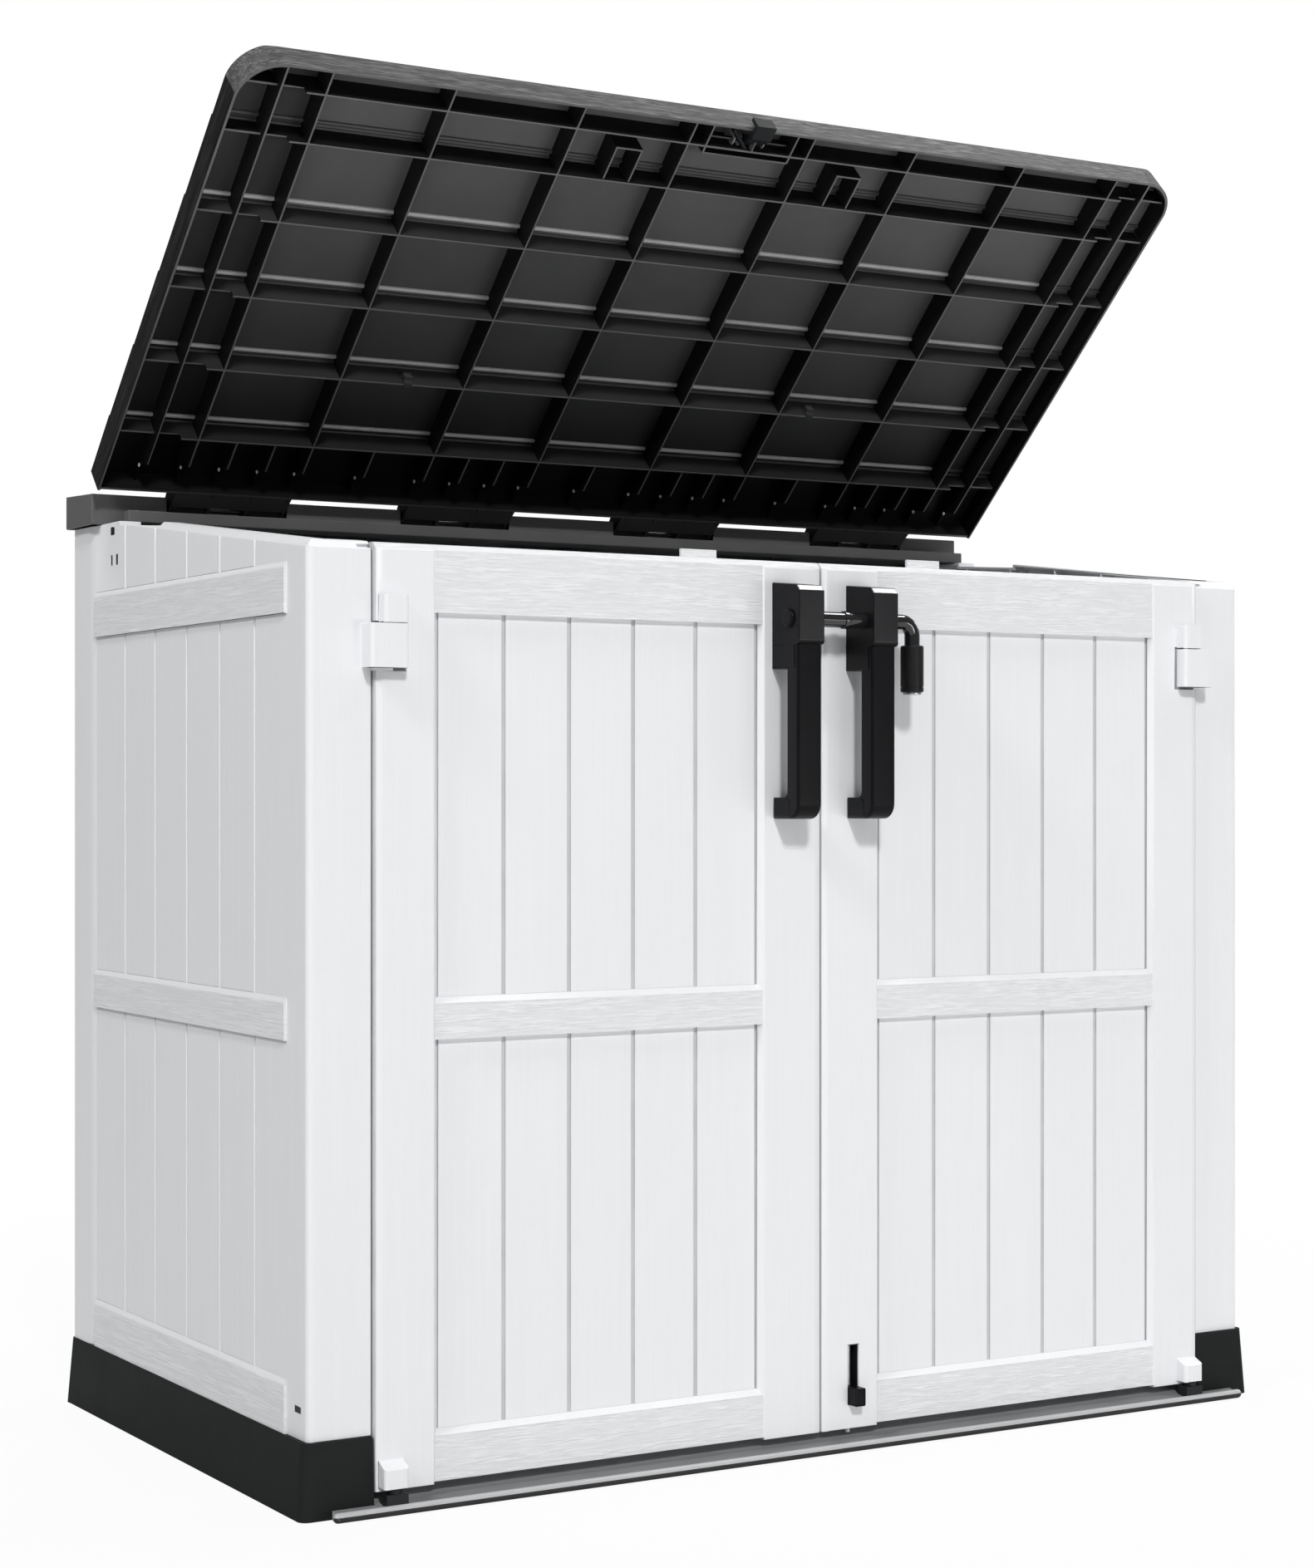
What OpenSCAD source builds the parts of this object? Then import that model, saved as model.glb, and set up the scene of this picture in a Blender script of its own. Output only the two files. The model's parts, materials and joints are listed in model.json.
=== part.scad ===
// Garden storage cabinet: moulded resin walls on a dark base, two boarded doors and a ribbed
// lid that swings on a rail across the rear. The lid is drawn open, the doors closed.
// Origin: middle of the base underside. +X to the right, +Y to the rear, +Z up, millimetres.
// Pieces are drawn from the front posts' face at Y = 0 and then moved back to that origin.

/* [Body] */
// Width over the front posts
body_w = 1420; // [1340:10:1500]
// Depth from the post faces to the rear faces
body_d = 778; // [740:2:830]
// Height of the base
base_h = 90; // [80:1:100]
// Distance that the foot of the base stands out from the walls
base_out = 12; // [8:1:16]
// Distance that the top of the base stands out from the walls
base_top_out = 6; // [5:1:7]
// Distance that the foot of the base stands in front of the posts
base_front = 9; // [7:1:10]
// Height of the face of the front posts
front_h = 1127; // [1100:1:1200]
// Slope of the wall tops, degrees
wall_slope = 6.9; // [6.6:0.1:7.2]
// Thickness of a wall, skin and ribs together
wall_d = 30; // [26:1:34]
// Width of a front post
post_w = 81; // [76:1:88]
// Depth of a rear post
rear_post_d = 81; // [70:1:100]
// Rounding of the outer corners
post_round = 8; // [4:1:10]
// Height of the floor above the ground
floor_z = 56; // [50:1:62]

/* [Mouldings] */
// Thickness of a moulded skin
skin = 4; // [3:0.5:4.5]
// Thickness of a moulded rib
rib = 3; // [2:0.5:4]
// Distance that rails stand proud of the boards on the side and rear walls
proud = 4; // [3:0.5:5]
// Number of boards across a side wall or a door
boards = 5; // [4:1:6]
// Number of boards across the rear wall
rear_boards = 12; // [10:2:14]
// Width of the groove between boards
groove_w = 5; // [3:0.5:8]
// Depth of the groove between boards
groove_d = 2; // [1:0.5:2.5]
// Height of the bevel around the tops of the walls and doors
rim_bevel = 9; // [6:1:10]
// Height of the bevel on the upper edge of a rail
rail_bevel = 7; // [5:1:9]
// Clearance between pieces that are set beside each other
fit_gap = 0.2; // [0.1:0.05:0.3]

/* [Wall rails] */
// Top edge of the bottom rail on a wall
low_rail_top = 154; // [140:1:180]
// Lower edge of the middle rail on a wall
mid_rail_z = 551; // [500:1:600]
// Height of the middle rail on a wall
mid_rail_h = 51; // [40:1:70]
// Drop from the front height to the lower edge of the top rail on a wall
top_rail_drop = 74; // [70:1:90]
// Height of the top rail on a wall
top_rail_h = 61; // [50:1:66]
// Distance of the side rails' front ends behind the post face
side_rail_y = 59; // [50:1:80]
// Distance of the first groove of a side wall behind the post face
first_groove_y = 154; // [140:1:170]
// Distance of the notch in a wall top behind the post face
notch_y = 472; // [440:1:500]
// Depth of the notch in a wall top
notch_drop = 5; // [3:0.5:7]

/* [Doors] */
// Gap between a door and its post
door_gap = 2; // [1.5:0.1:2.5]
// Half of the gap between the doors
middle_gap = 1.5; // [1.5:0.1:2.5]
// Height of the stiles' feet above the ground
door_z = 25; // [25:1:30]
// Distance that the rails end above the stiles' feet
rail_lift = 3; // [0:1:8]
// Distance that the stiles stand in front of the posts
door_proud = 9; // [8:0.5:9]
// Distance that the rails lie behind the face of the stiles
stile_step = 2; // [1:0.5:3]
// Distance from the posts' face to the back of a door
door_back = 26; // [24:1:27]
// Width of the outer stile
outer_stile = 76; // [70:1:84]
// Width of the inner stile
inner_stile = 85; // [82:1:95]
// Height of the doors' bottom rail
low_rail_h = 61; // [50:1:80]
// Lower edge of the doors' middle rail
door_mid_z = 550; // [500:1:600]
// Height of the doors' middle rail
door_mid_h = 50; // [40:1:70]
// Height of the doors' top rail
door_top_h = 72; // [60:1:84]
// Width of the locating tab on a door top
tab_w = 52; // [40:1:60]
// Thickness of the locating tab
tab_t = 4; // [3:0.5:5]
// Height of the tab's tip above the front height
tab_h = 20; // [14:1:20]

/* [Door hinges] */
// Distance of the pin axis from the post's inner edge
pin_in = 21.5; // [21.5:0.5:23]
// Distance of the pin axis in front of the posts
pin_out = 18; // [18:0.1:19]
// Radius of a door pin
pin_r = 4; // [3:0.5:5]
// Radial clearance of a running pin
pin_fit = 0.06; // [0.03:0.01:0.1]
// Half width of a knuckle
knuckle_hw = 16; // [14:0.5:16]
// Drop from the front height to the lower edge of the fixed upper knuckle
fixed_drop = 139; // [127:1:220]
// Height of the fixed upper knuckle
fixed_h = 52; // [40:1:52]
// Height of the door's upper knuckle
upper_h = 33; // [25:1:36]
// Height of the door's lower knuckle
lower_h = 31; // [26:1:40]

/* [Handles] */
// Distance of a handle's centre from the middle of the cabinet
handle_x = 56.5; // [56:0.5:60]
// Width of the handle's block
block_w = 38; // [34:1:40]
// Width of the grip
grip_w = 30; // [24:1:32]
// Distance that a handle stands out from the door
handle_out = 63; // [62:1:66]
// Thickness of the grip, front to back
grip_t = 24; // [20:1:26]
// Drop from the front height to the top of a handle
handle_drop = 19; // [19:1:37]
// Length of a handle
handle_len = 299; // [270:1:310]
// Height of a handle's block
block_h = 110; // [104:1:120]
// Height of a handle's foot
foot_h = 27; // [22:1:32]
// Radius of the lower outer corner of a handle
foot_r = 20; // [14:1:21]
// Radius of a screw's shank
screw_r = 2.2; // [1.8:0.1:2.5]

/* [Lock] */
// Radius of the lock bar
bar_r = 10; // [8:0.5:10]
// Distance of the lock bar in front of the door face
bar_out = 39; // [36:1:40]
// Drop from the top of the handle to the lock bar
bar_drop = 47; // [44:1:52]
// Distance of the bar's parting from the middle of the cabinet
bar_part = 13; // [5:1:20]
// Radius of the bend in the lock bar
bend_r = 18; // [14:1:20]
// Distance of the lock body's centre from the middle of the cabinet
lock_x = 114; // [110:1:124]
// Radius of the lock body
lock_r = 15; // [13:0.5:17]
// Length of the lock body
lock_len = 60; // [50:1:70]

/* [Floor bolt] */
// Distance of the bolt from the middle of the cabinet
bolt_x = 49.5; // [44:0.5:54]
// Width of the slot in the door
slot_w = 17; // [15:0.5:19]
// Height of the slot's lower end above the ground
slot_z = 55; // [50:1:70]
// Height of the knob
knob_h = 23; // [18:1:25]
// Radius of the bolt rod
rod_r = 5; // [4:0.5:6]
// Travel of the bolt
bolt_travel = 50; // [40:1:50]

/* [Sill] */
// Distance that the sill reaches in front of the posts
sill_out = 34; // [33:1:40]
// Height of the sill at the floor
sill_h = 20; // [16:1:21]
// Radius of the bead along the sill's front edge
bead_r = 6; // [5:0.5:6]
// Distance of the sill strip's ends inside the sides of the body
strip_in = 26; // [20:1:40]
// Half width of a hinge post
hinge_post_hw = 14; // [12:0.5:14]
// Half depth of a hinge post
hinge_post_hd = 9.5; // [9:0.1:9.5]

/* [Hinge rail] */
// Distance of the rail's front lip in front of the body's rear face
rail_d = 158; // [150:1:166]
// Drop from the line of the wall tops to the rail's seat
seat_drop = 4.8; // [4:0.1:6]
// Height of the rail
rail_h = 45; // [43:1:46]
// Height of the front lip
lip_h = 16; // [12:1:16]
// Thickness of the front lip
lip_t = 17; // [12:1:17]
// Distance of the raised stretches behind the rail's front
raised_y = 54; // [54:1:60]
// Thickness of the rail's plate
plate_t = 3; // [2:0.5:4]
// Distance from the middle to the inner hinge bays
bay_x = 176; // [170:1:180]
// Half width of a hinge bay
bay_hw = 87.5; // [86:0.5:89]
// Distance that the rail's ends stand out from the posts
rail_end = 14; // [12:1:15]
// Distance of the lid pins behind the rail's front
axis_y = 72; // [70:1:74]
// Height of the lid pins above the rail's seat
axis_z = 28; // [27:1:29]
// Radius of a lid pin
lid_pin_r = 4; // [3:0.5:5]
// Radius of a knuckle on the rail or the lid
boss_r = 9; // [8:0.5:9]

/* [Lid] */
// Angle of the open lid above level
lid_open = 42.8; // [35:0.1:60]
// Gap between the closed lid's rim and the door tops
lid_gap = 8.8; // [8:0.1:10]
// Distance that the lid overhangs the walls at the sides
lid_side = 18; // [17:1:20]
// Distance that the closed lid overhangs the posts at the front
lid_front = 38; // [36:1:45]
// Thickness of the lid at the front ends of its boards
lid_t = 41; // [38:1:42]
// Amount that a lid board thins towards its rear end
board_fall = 3; // [2:0.5:3]
// Radius of the lid's front corners
lid_corner = 57; // [56:1:66]
// Height of the chamfer along the lid's top edge
lid_chamfer = 4; // [2:0.5:5]
// Distance of the lid pins behind the lid's rear edge
axis_back = 43.9; // [43.5:0.1:45]
// Height of the lid pins above the lid's rim
axis_rise = 20.2; // [19.5:0.1:20.5]
// Distance from the lid's rear edge to its first cross rib
first_row = 98; // [90:1:104]
// Distance from the front edge to the last board seam
last_row = 108.6; // [100:0.1:115]
// Distance from the front edge to the last cross rib
front_rib = 36; // [34:1:38]
// Distance of the outer lengthwise ribs from the lid's edges
edge_rib = 57; // [54:1:62]
// Distance from the middle of a hinge bay to its inner arms
arm_x = 28; // [26:1:32]
// Distance from the middle of a hinge bay to its outer arms
arm_out = 83.5; // [82:0.5:84]
// Thickness of a hinge arm
arm_t = 5; // [4:0.5:5]
// Depth by which the ribs clear the wall tops
wall_relief = 10; // [9:0.5:12]

/* [Sockets and latch] */
// Width between the side ribs of a lid socket
socket_w = 38; // [34:1:42]
// Length of a lid socket
socket_l = 51; // [40:1:51]
// Half width of the latch's pocket
pocket_hw = 66; // [60:1:70]
// Width of the latch hook
hook_w = 30; // [24:1:36]
// Distance of the hook's centre from the middle
hook_x = 5; // [0:1:10]
// Distance of the latch pin behind the front edge
latch_back = 27.6; // [26:0.1:28]
// Height of the latch pin above the lid's rim
latch_n = 14; // [13:0.5:15]
// Radius of the latch pin
latch_pin_r = 3; // [2:0.5:3.5]

/* [Hidden] */
$fn = 48;
eps = 0.5;
far = 2000;
white = "#e6e8ea";
charcoal = "#282b2a";
graphite = "#3a3b3e";
steel = "#9a9da1";

// Walls
half_w = body_w / 2;
inner_x = half_w - wall_d;
post_x = half_w - post_w;
slope = tan(wall_slope);
function rim(y) = front_h + rim_bevel + y * slope;
seat_y = body_d - rail_d;
step_y = seat_y - 10;
seat_z = rim(step_y) - seat_drop;
notch_end_z = seat_z - 6;
rear_post_y = body_d - rear_post_d;
rear_in_y = body_d - wall_d;
groove_pitch = (rear_post_y - first_groove_y) / boards;
top_rail_z = front_h - top_rail_drop;
mid_rail_top = mid_rail_z + mid_rail_h;
top_rail_top = top_rail_z + top_rail_h;
front_rib_y = 1.5 * wall_d;
wall_rows = [base_h, low_rail_top, 352, (mid_rail_z + mid_rail_top) / 2, 815,
    (top_rail_z + top_rail_top) / 2, seat_z];
post_notch_w = 17;
post_notch_z = front_h + 2;
post_notch_h = 4;
rear_pitch = 2 * (inner_x - fit_gap) / rear_boards;

// Square plugs in the side walls: distance from the post face, height, width, length
plug_in = 3;
plugs = [[seat_y + 17, seat_z - 12, 16, 10], [seat_y + 20, seat_z - 51, 7, 14],
    [seat_y + 1, seat_z - 51, 7, 14], [27.7, base_h + 34, 18.5, 8]];

// Base and sill
base_round = 12;
base_lip = 4;
base_columns = 10;
base_depth_rows = 6;
pad_hw = 40;
bay_y = wall_d + 4;
strip_half = half_w - strip_in;
strip_y = -sill_out + 3.6 * bead_r;
sill_slope_y = -22;
sill_slope_z = 9.5;

// Doors, drawn to the right of the middle
door_front = -door_proud;
door_rail_y = door_front + stile_step;
door_out_x = post_x - door_gap;
face_in_x = middle_gap + inner_stile;
face_out_x = door_out_x - outer_stile;
board_in_x = face_in_x + rail_bevel;
board_out_x = face_out_x - rail_bevel;
door_pitch = (board_out_x - board_in_x) / boards;
door_rows = [320, door_mid_z + door_mid_h / 2, 800, front_h - door_top_h];
edge_bevel = 9;
edge_fall = 2;
tab_x = 173;
tab_y = 9;
pin_x = post_x - pin_in;
pin_y = -pin_out;
bore_r = pin_r + pin_fit;
knuckle_front = pin_y - 9;
knuckle_round = 5;
knuckle_gap = 3;
fixed_z = front_h - fixed_drop;
fixed_top = fixed_z + fixed_h;
upper_z = fixed_top + 0.8;
lower_z = door_z + 5;
notch_x = pin_x - knuckle_hw - 3.5;
pin_floor = 8;
post_top_r = 8.4;
hinge_post_z = door_z - 1;
pin_foot_z = 10;

// Handles, lock and bolt
handle_top = front_h - handle_drop;
handle_front = door_front - handle_out;
grip_front = handle_front + 3;
handle_foot = handle_top - handle_len;
block_z = handle_top - block_h;
bar_z = handle_top - bar_drop;
bar_y = door_front - bar_out;
bar_fit = 0.1;
bar_gap = 0.3;
stud_head_r = bar_r + 2;
stud_head_t = 4;
collar_r = bar_r + 1.5;
collar_l = 8;
lock_top = bar_z - 30;
key_disc_t = 3;
key_disc_r = lock_r - 3;
screw_zs = [handle_top - 20, block_z + 14, handle_foot + foot_h / 2];
screw_head_r = 4.5;
screw_head_t = 2.5;
screw_l = 16;
slot_play = 2;
slot_h = knob_h + bolt_travel + 2 * slot_play;
rod_y = 6;
rod_foot = sill_h - 2;
rod_top = slot_z + slot_h + 18;
rod_fit = 0.3;
guide_end = 6;
guide_wall = 5;
guide_y1 = 18;
knob_front = -26;
knob_gap = 0.5;

// Hinge rail
rail_top = seat_z + rail_h;
raised_front_y = seat_y + raised_y;
rail_rear_y = body_d + 3;
rail_end_x = half_w + rail_end;
rail_plate_x = inner_x + 13.6;
raised_fall = 3;
end_back = 6;
axis_yy = seat_y + axis_y;
axis_zz = seat_z + axis_z;
boss_fit = 0.3;
bays = [-3 * bay_x, -bay_x, bay_x, 3 * bay_x];
rail_screw_y = body_d - 16;
lid_bore_r = lid_pin_r + pin_fit;

// Lid: the slope of the closed lid follows from the pins and the door tops
lid_slope = atan((axis_zz - axis_rise - rim(0) - lid_gap) / axis_yy);
lid_half = half_w + lid_side;
lid_len = (axis_yy + axis_rise * sin(lid_slope) + lid_front) / cos(lid_slope) - axis_back;
row_pitch = (lid_len - last_row - first_row) / 4;
seams = [for (k = [0 : 4]) first_row + k * row_pitch];
last_rib = lid_len - front_rib;
rib_top = lid_t - board_fall - 0.5;
outer_rib = lid_half - edge_rib;
rail_relief = 20;
long_ribs = [for (s = [-1, 1]) each
    [s * outer_rib, for (g = [1, 3], e = [-1, 1]) s * (g * bay_x + e * arm_out)]];
short_ribs = [0, for (s = [-1, 1]) each
    [s * 2 * bay_x, for (g = [1, 3], e = [-1, 1]) s * (g * bay_x + e * arm_x)]];
skirt_n = 2;
web_u = -30;
web_n = 8;
socket_u = seams[4] + rib;
latch_u = lid_len - latch_back;
pocket_u = latch_u - 19;

// Moves a piece drawn from the post faces into the cabinet's frame
module from_front() translate([0, -body_d / 2, 0]) children();

// Box between two corners
module span(a, b) translate(a) cube(b - a);

// Outline drawn in Y and Z, drawn out along X from x0 to x1
module along_x(x0, x1) translate([x0, 0, 0]) rotate([90, 0, 90]) linear_extrude(x1 - x0) children();

// Outline drawn in X and Z, drawn out along Y from y0 to y1
module along_y(y0, y1) translate([0, y1, 0]) rotate([90, 0, 0]) linear_extrude(y1 - y0) children();

// Round bar along X from x0 to x1
module x_bar(x0, x1, y, z, r) translate([x0, y, z]) rotate([0, 90, 0]) cylinder(r = r, h = x1 - x0);

// Round bar along Y from y0 to y1
module y_bar(y0, y1, x, z, r) translate([x, y1, z]) rotate([90, 0, 0]) cylinder(r = r, h = y1 - y0);

// What rounds a vertical corner at the origin, with the piece towards -X and +Y
module corner_cut(z0, z1) translate([0, 0, z0]) linear_extrude(z1 - z0) difference() {
    translate([-post_round, -1]) square(post_round + 1);
    translate([-post_round, post_round]) circle(post_round);
}

// Rectangle with rounded front corners
module knuckle_outline(x0, x1, y0, y1) {
    translate([x0, y0 + knuckle_round]) square([x1 - x0, y1 - y0 - knuckle_round]);
    translate([x0 + knuckle_round, y0]) square([x1 - x0 - 2 * knuckle_round, knuckle_round + eps]);
    for (x = [x0 + knuckle_round, x1 - knuckle_round])
        translate([x, y0 + knuckle_round]) circle(knuckle_round);
}

// Cells between ribs centred on ys and zs, reaching from x0 to x1
module wall_cells(x0, x1, ys, zs)
    for (j = [1 : len(ys) - 1], k = [1 : len(zs) - 1])
        span([x0, ys[j - 1] + rib / 2, zs[k - 1] + rib / 2], [x1, ys[j] - rib / 2, zs[k] - rib / 2]);

// Side of a wall in Y and Z, drawn in by i and, along the sloping top, by t
function wall_outline(i, t) = [[i, base_h + i], [i, rim(i) - t], [notch_y - i, rim(notch_y) - t],
    [notch_y - i, rim(notch_y) - notch_drop - t], [step_y + i, notch_end_z - t],
    [step_y + i, seat_z - i], [body_d - i, seat_z - i], [body_d - i, base_h + i]];

// Proud rail on a side wall, with a bevel along its upper edge
module side_rail(z0, z1) along_y(side_rail_y, rear_post_y + eps)
    polygon([[half_w - groove_d - eps, z0], [half_w + proud, z0], [half_w + proud, z1 - rail_bevel],
        [half_w, z1], [half_w - groove_d - eps, z1]]);

// Hollow of a side wall between its ribs, and of the post behind its face
module wall_hollow() {
    groove_ys = [for (k = [0 : boards]) first_groove_y + k * groove_pitch];
    for (p = [[half_w - skin, rim_bevel + 1], [half_w - skin - rim_bevel, skin]])
        intersection() {
            wall_cells(inner_x - eps, p[0], concat([front_rib_y], groove_ys, [body_d]), wall_rows);
            along_x(inner_x - 1, half_w) polygon(wall_outline(skin, p[1]));
        }
    post_rows = [for (z = wall_rows) min(z, front_h)];
    for (k = [1 : len(post_rows) - 1]) {
        z0 = post_rows[k - 1] + (k == 1 ? skin : rib / 2);
        z1 = post_rows[k] - rib / 2;
        span([post_x + skin, skin, z0], [half_w - skin, wall_d, z1]);
        span([post_x + skin, skin, z0], [inner_x, wall_d + eps, z1]);
        span([inner_x - eps, skin, z0], [half_w - skin, front_rib_y - rib / 2, z1]);
    }
}

// Slots for the square plugs, wider than them by the gap
module plug_slots(gap) for (p = plugs)
    span([half_w - skin - eps, p[0] - p[2] / 2 - gap, p[1] - p[3] / 2 - gap],
        [half_w + eps, p[0] + p[2] / 2 + gap, p[1] + p[3] / 2 + gap]);

module side_panel() {
    difference() {
        union() {
            along_x(inner_x, half_w) polygon(wall_outline(0, 0));
            along_x(post_x, half_w)
                polygon([[0, base_h], [0, rim(0)], [wall_d, rim(wall_d)], [wall_d, base_h]]);
        }
        wall_hollow();
        for (k = [0 : boards - 1])
            translate([half_w, first_groove_y + k * groove_pitch, low_rail_top])
                translate([-groove_d, -groove_w / 2, -eps]) cube([far, groove_w, far]);
        plug_slots(0);
        translate([half_w, 0, 0]) corner_cut(base_h - eps, far);
        translate([half_w, 0, front_h]) rotate([wall_slope, 0, 0]) along_y(-wall_d, step_y)
            polygon([[eps, -eps], [-2 * rim_bevel, 2 * rim_bevel], [wall_d, 2 * rim_bevel]]);
        along_x(post_x - eps, half_w + eps)
            polygon([[-eps, front_h - eps], [2 * rim_bevel, front_h + 2 * rim_bevel],
                [-wall_d, front_h + 2 * rim_bevel]]);
        span([post_x - eps, -eps, post_notch_z],
            [post_x + post_notch_w, rim_bevel + 1, post_notch_z + post_notch_h]);
    }
    side_rail(base_h, low_rail_top);
    side_rail(mid_rail_z, mid_rail_top);
    side_rail(top_rail_z, top_rail_top);
    translate([0, 0, base_h]) linear_extrude(seat_z - base_h) rear_post_outline();
    fixed_knuckle();
}

// Rear post in X and Y, with a chamfered front edge and a rounded corner
module rear_post_outline() difference() {
    polygon([[half_w - groove_d - eps, rear_post_y], [half_w, rear_post_y],
        [half_w + proud, rear_post_y + 5 * proud], [half_w + proud, body_d],
        [half_w - groove_d - eps, body_d]]);
    translate([half_w + proud, body_d]) difference() {
        translate([-groove_d - proud, -groove_d - proud]) square(2 * proud + groove_d);
        translate([-groove_d - proud, -groove_d - proud]) circle(groove_d + proud);
    }
}

// Upper hinge knuckle on the post, open at the top for the door's pin
module fixed_knuckle() difference() {
    translate([0, 0, fixed_z]) linear_extrude(fixed_h) {
        knuckle_outline(pin_x - knuckle_hw, post_x + pin_in - 9, knuckle_front, door_front + 1);
        translate([post_x, knuckle_front + knuckle_round])
            square([pin_in - 9, eps - knuckle_front - knuckle_round]);
    }
    translate([pin_x, pin_y, fixed_z + pin_floor]) cylinder(r = bore_r, h = fixed_h);
}

module left_side_panel() color(white) from_front() mirror([1, 0, 0]) side_panel();
module right_side_panel() color(white) from_front() side_panel();

// Plugs pushed into the side walls from inside, with a flange behind the skin
module panel_clips() for (p = plugs) {
    translate([half_w - skin - plug_in, p[0] - p[2] / 2 - 2, p[1] - p[3] / 2 - 2])
        cube([plug_in, p[2] + 4, p[3] + 4]);
    translate([half_w - skin, p[0] - p[2] / 2 + fit_gap, p[1] - p[3] / 2 + fit_gap])
        cube([skin - eps, p[2] - 2 * fit_gap, p[3] - 2 * fit_gap]);
}

module left_panel_clips() color("#202224") from_front() mirror([1, 0, 0]) panel_clips();
module right_panel_clips() color("#202224") from_front() panel_clips();

// Proud rail on the rear wall
module rear_rail(z0, z1) span([-inner_x + fit_gap, body_d - proud - groove_d - eps, z0],
    [inner_x - fit_gap, body_d, z1]);

module rear_panel() color(white) from_front() {
    w = inner_x - fit_gap;
    difference() {
        union() {
            difference() {
                span([-w, rear_in_y, base_h], [w, body_d - proud, seat_z]);
                for (i = [0 : rear_boards - 1], k = [1 : len(wall_rows) - 1])
                    span([-w + i * rear_pitch + rib / 2, rear_in_y - eps, wall_rows[k - 1] + skin],
                        [-w + (i + 1) * rear_pitch - rib / 2, body_d - proud - skin, wall_rows[k] - skin]);
                for (i = [1 : rear_boards - 1])
                    translate([-w + i * rear_pitch - groove_w / 2, body_d - proud - groove_d, low_rail_top])
                        cube([groove_w, far, far]);
            }
            rear_rail(base_h, low_rail_top);
            rear_rail(mid_rail_z, mid_rail_top);
            rear_rail(top_rail_z, top_rail_top);
            for (x = bays)
                translate([x, rail_screw_y, seat_z - 2 * screw_l]) cylinder(r = 6, h = 2 * screw_l - eps);
        }
        for (x = bays)
            translate([x, rail_screw_y, seat_z - 1.6 * screw_l]) cylinder(r = screw_r + pin_fit, h = far);
    }
}

// Plate with rounded corners, from the posts' face out by d at the sides and the rear
module base_slab(d, front, z) for (s = [-1, 1], y = [-front + base_round, body_d + d - base_round])
    translate([s * (half_w + d - base_round), y, z]) cylinder(r = base_round, h = eps, $fn = 32);

module base_floor() color(charcoal) from_front() {
    lip_x = inner_x - base_lip;
    lip_y = rear_in_y - base_lip;
    side_x = half_w + base_top_out - skin + rib / 2;
    rear_y = body_d + base_top_out - skin + rib / 2;
    columns = concat([-side_x],
        [for (k = [0 : base_columns]) lip_x * (2 * k / base_columns - 1)], [side_x]);
    rows = concat([for (k = [0 : base_depth_rows])
        bay_y + skin - rib / 2 + k * (lip_y - bay_y - skin) / base_depth_rows], [rear_y]);
    difference() {
        hull() {
            base_slab(base_out, base_front, 0);
            base_slab(base_top_out, base_front - skin, base_h - eps);
        }
        span([-lip_x, bay_y, floor_z], [lip_x, lip_y, base_h + eps]);
        span([-post_x, -wall_d, -eps], [post_x, bay_y, base_h + eps]);
        for (i = [1 : len(columns) - 1], j = [1 : len(rows) - 1])
            span([columns[i - 1] + rib / 2, rows[j - 1] + rib / 2, -eps],
                [columns[i] - rib / 2, rows[j] - rib / 2,
                (i == 1 || i == len(columns) - 1 || j == len(rows) - 1 ? base_h : floor_z) - skin]);
        for (s = [0, 1]) mirror([s, 0, 0])
            span([post_x + skin, 0, -eps], [half_w + base_top_out - skin, wall_d, base_h - skin]);
    }
    span([-pad_hw, body_d / 2 - pad_hw, 0], [pad_hw, body_d / 2 + pad_hw, floor_z - eps]);
}

// Cross section of the sill: a sloping step with a round bead along its front
module sill_section() {
    polygon([[bay_y - fit_gap, 0], [bay_y - fit_gap, sill_h], [sill_slope_y, sill_slope_z],
        [-sill_out + bead_r, sill_slope_z], [-sill_out + bead_r, 0]]);
    translate([-sill_out + bead_r, bead_r]) circle(bead_r);
}

module front_sill() color("#8f9193") from_front() difference() {
    union() {
        along_x(-post_x + 2 * fit_gap, post_x - 2 * fit_gap) sill_section();
        along_x(-strip_half, strip_half) intersection() {
            sill_section();
            translate([-sill_out, 0]) square([strip_y + sill_out, 2 * bead_r]);
        }
        for (s = [-1, 1]) translate([s * strip_half, -sill_out + bead_r, bead_r]) sphere(bead_r);
    }
    for (x = [-pin_x, pin_x])
        translate([x - hinge_post_hw - fit_gap, pin_y - hinge_post_hd - fit_gap, -eps])
            cube([2 * (hinge_post_hw + fit_gap), 2 * (hinge_post_hd + fit_gap), door_z]);
}

// Lower hinge post that stands in the sill
module hinge_post() difference() {
    union() {
        translate([pin_x - hinge_post_hw, pin_y - hinge_post_hd, 0])
            cube([2 * hinge_post_hw, 2 * hinge_post_hd, hinge_post_z]);
        translate([pin_x, pin_y, hinge_post_z - eps]) cylinder(r = post_top_r, h = lower_z - hinge_post_z);
    }
    translate([pin_x, pin_y, pin_foot_z - eps]) cylinder(r = bore_r, h = far);
}

module left_hinge_post() color("#1c1e1f") from_front() mirror([1, 0, 0]) hinge_post();
module right_hinge_post() color("#1c1e1f") from_front() hinge_post();

// Proud rail between the stiles of a door, with a bevel b along its upper edge
module door_rail(z0, z1, b) along_x(face_in_x - eps, face_out_x + eps)
    polygon([[groove_d + eps, z0], [door_rail_y, z0], [door_rail_y, z1 - b], [0, z1], [groove_d + eps, z1]]);

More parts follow.
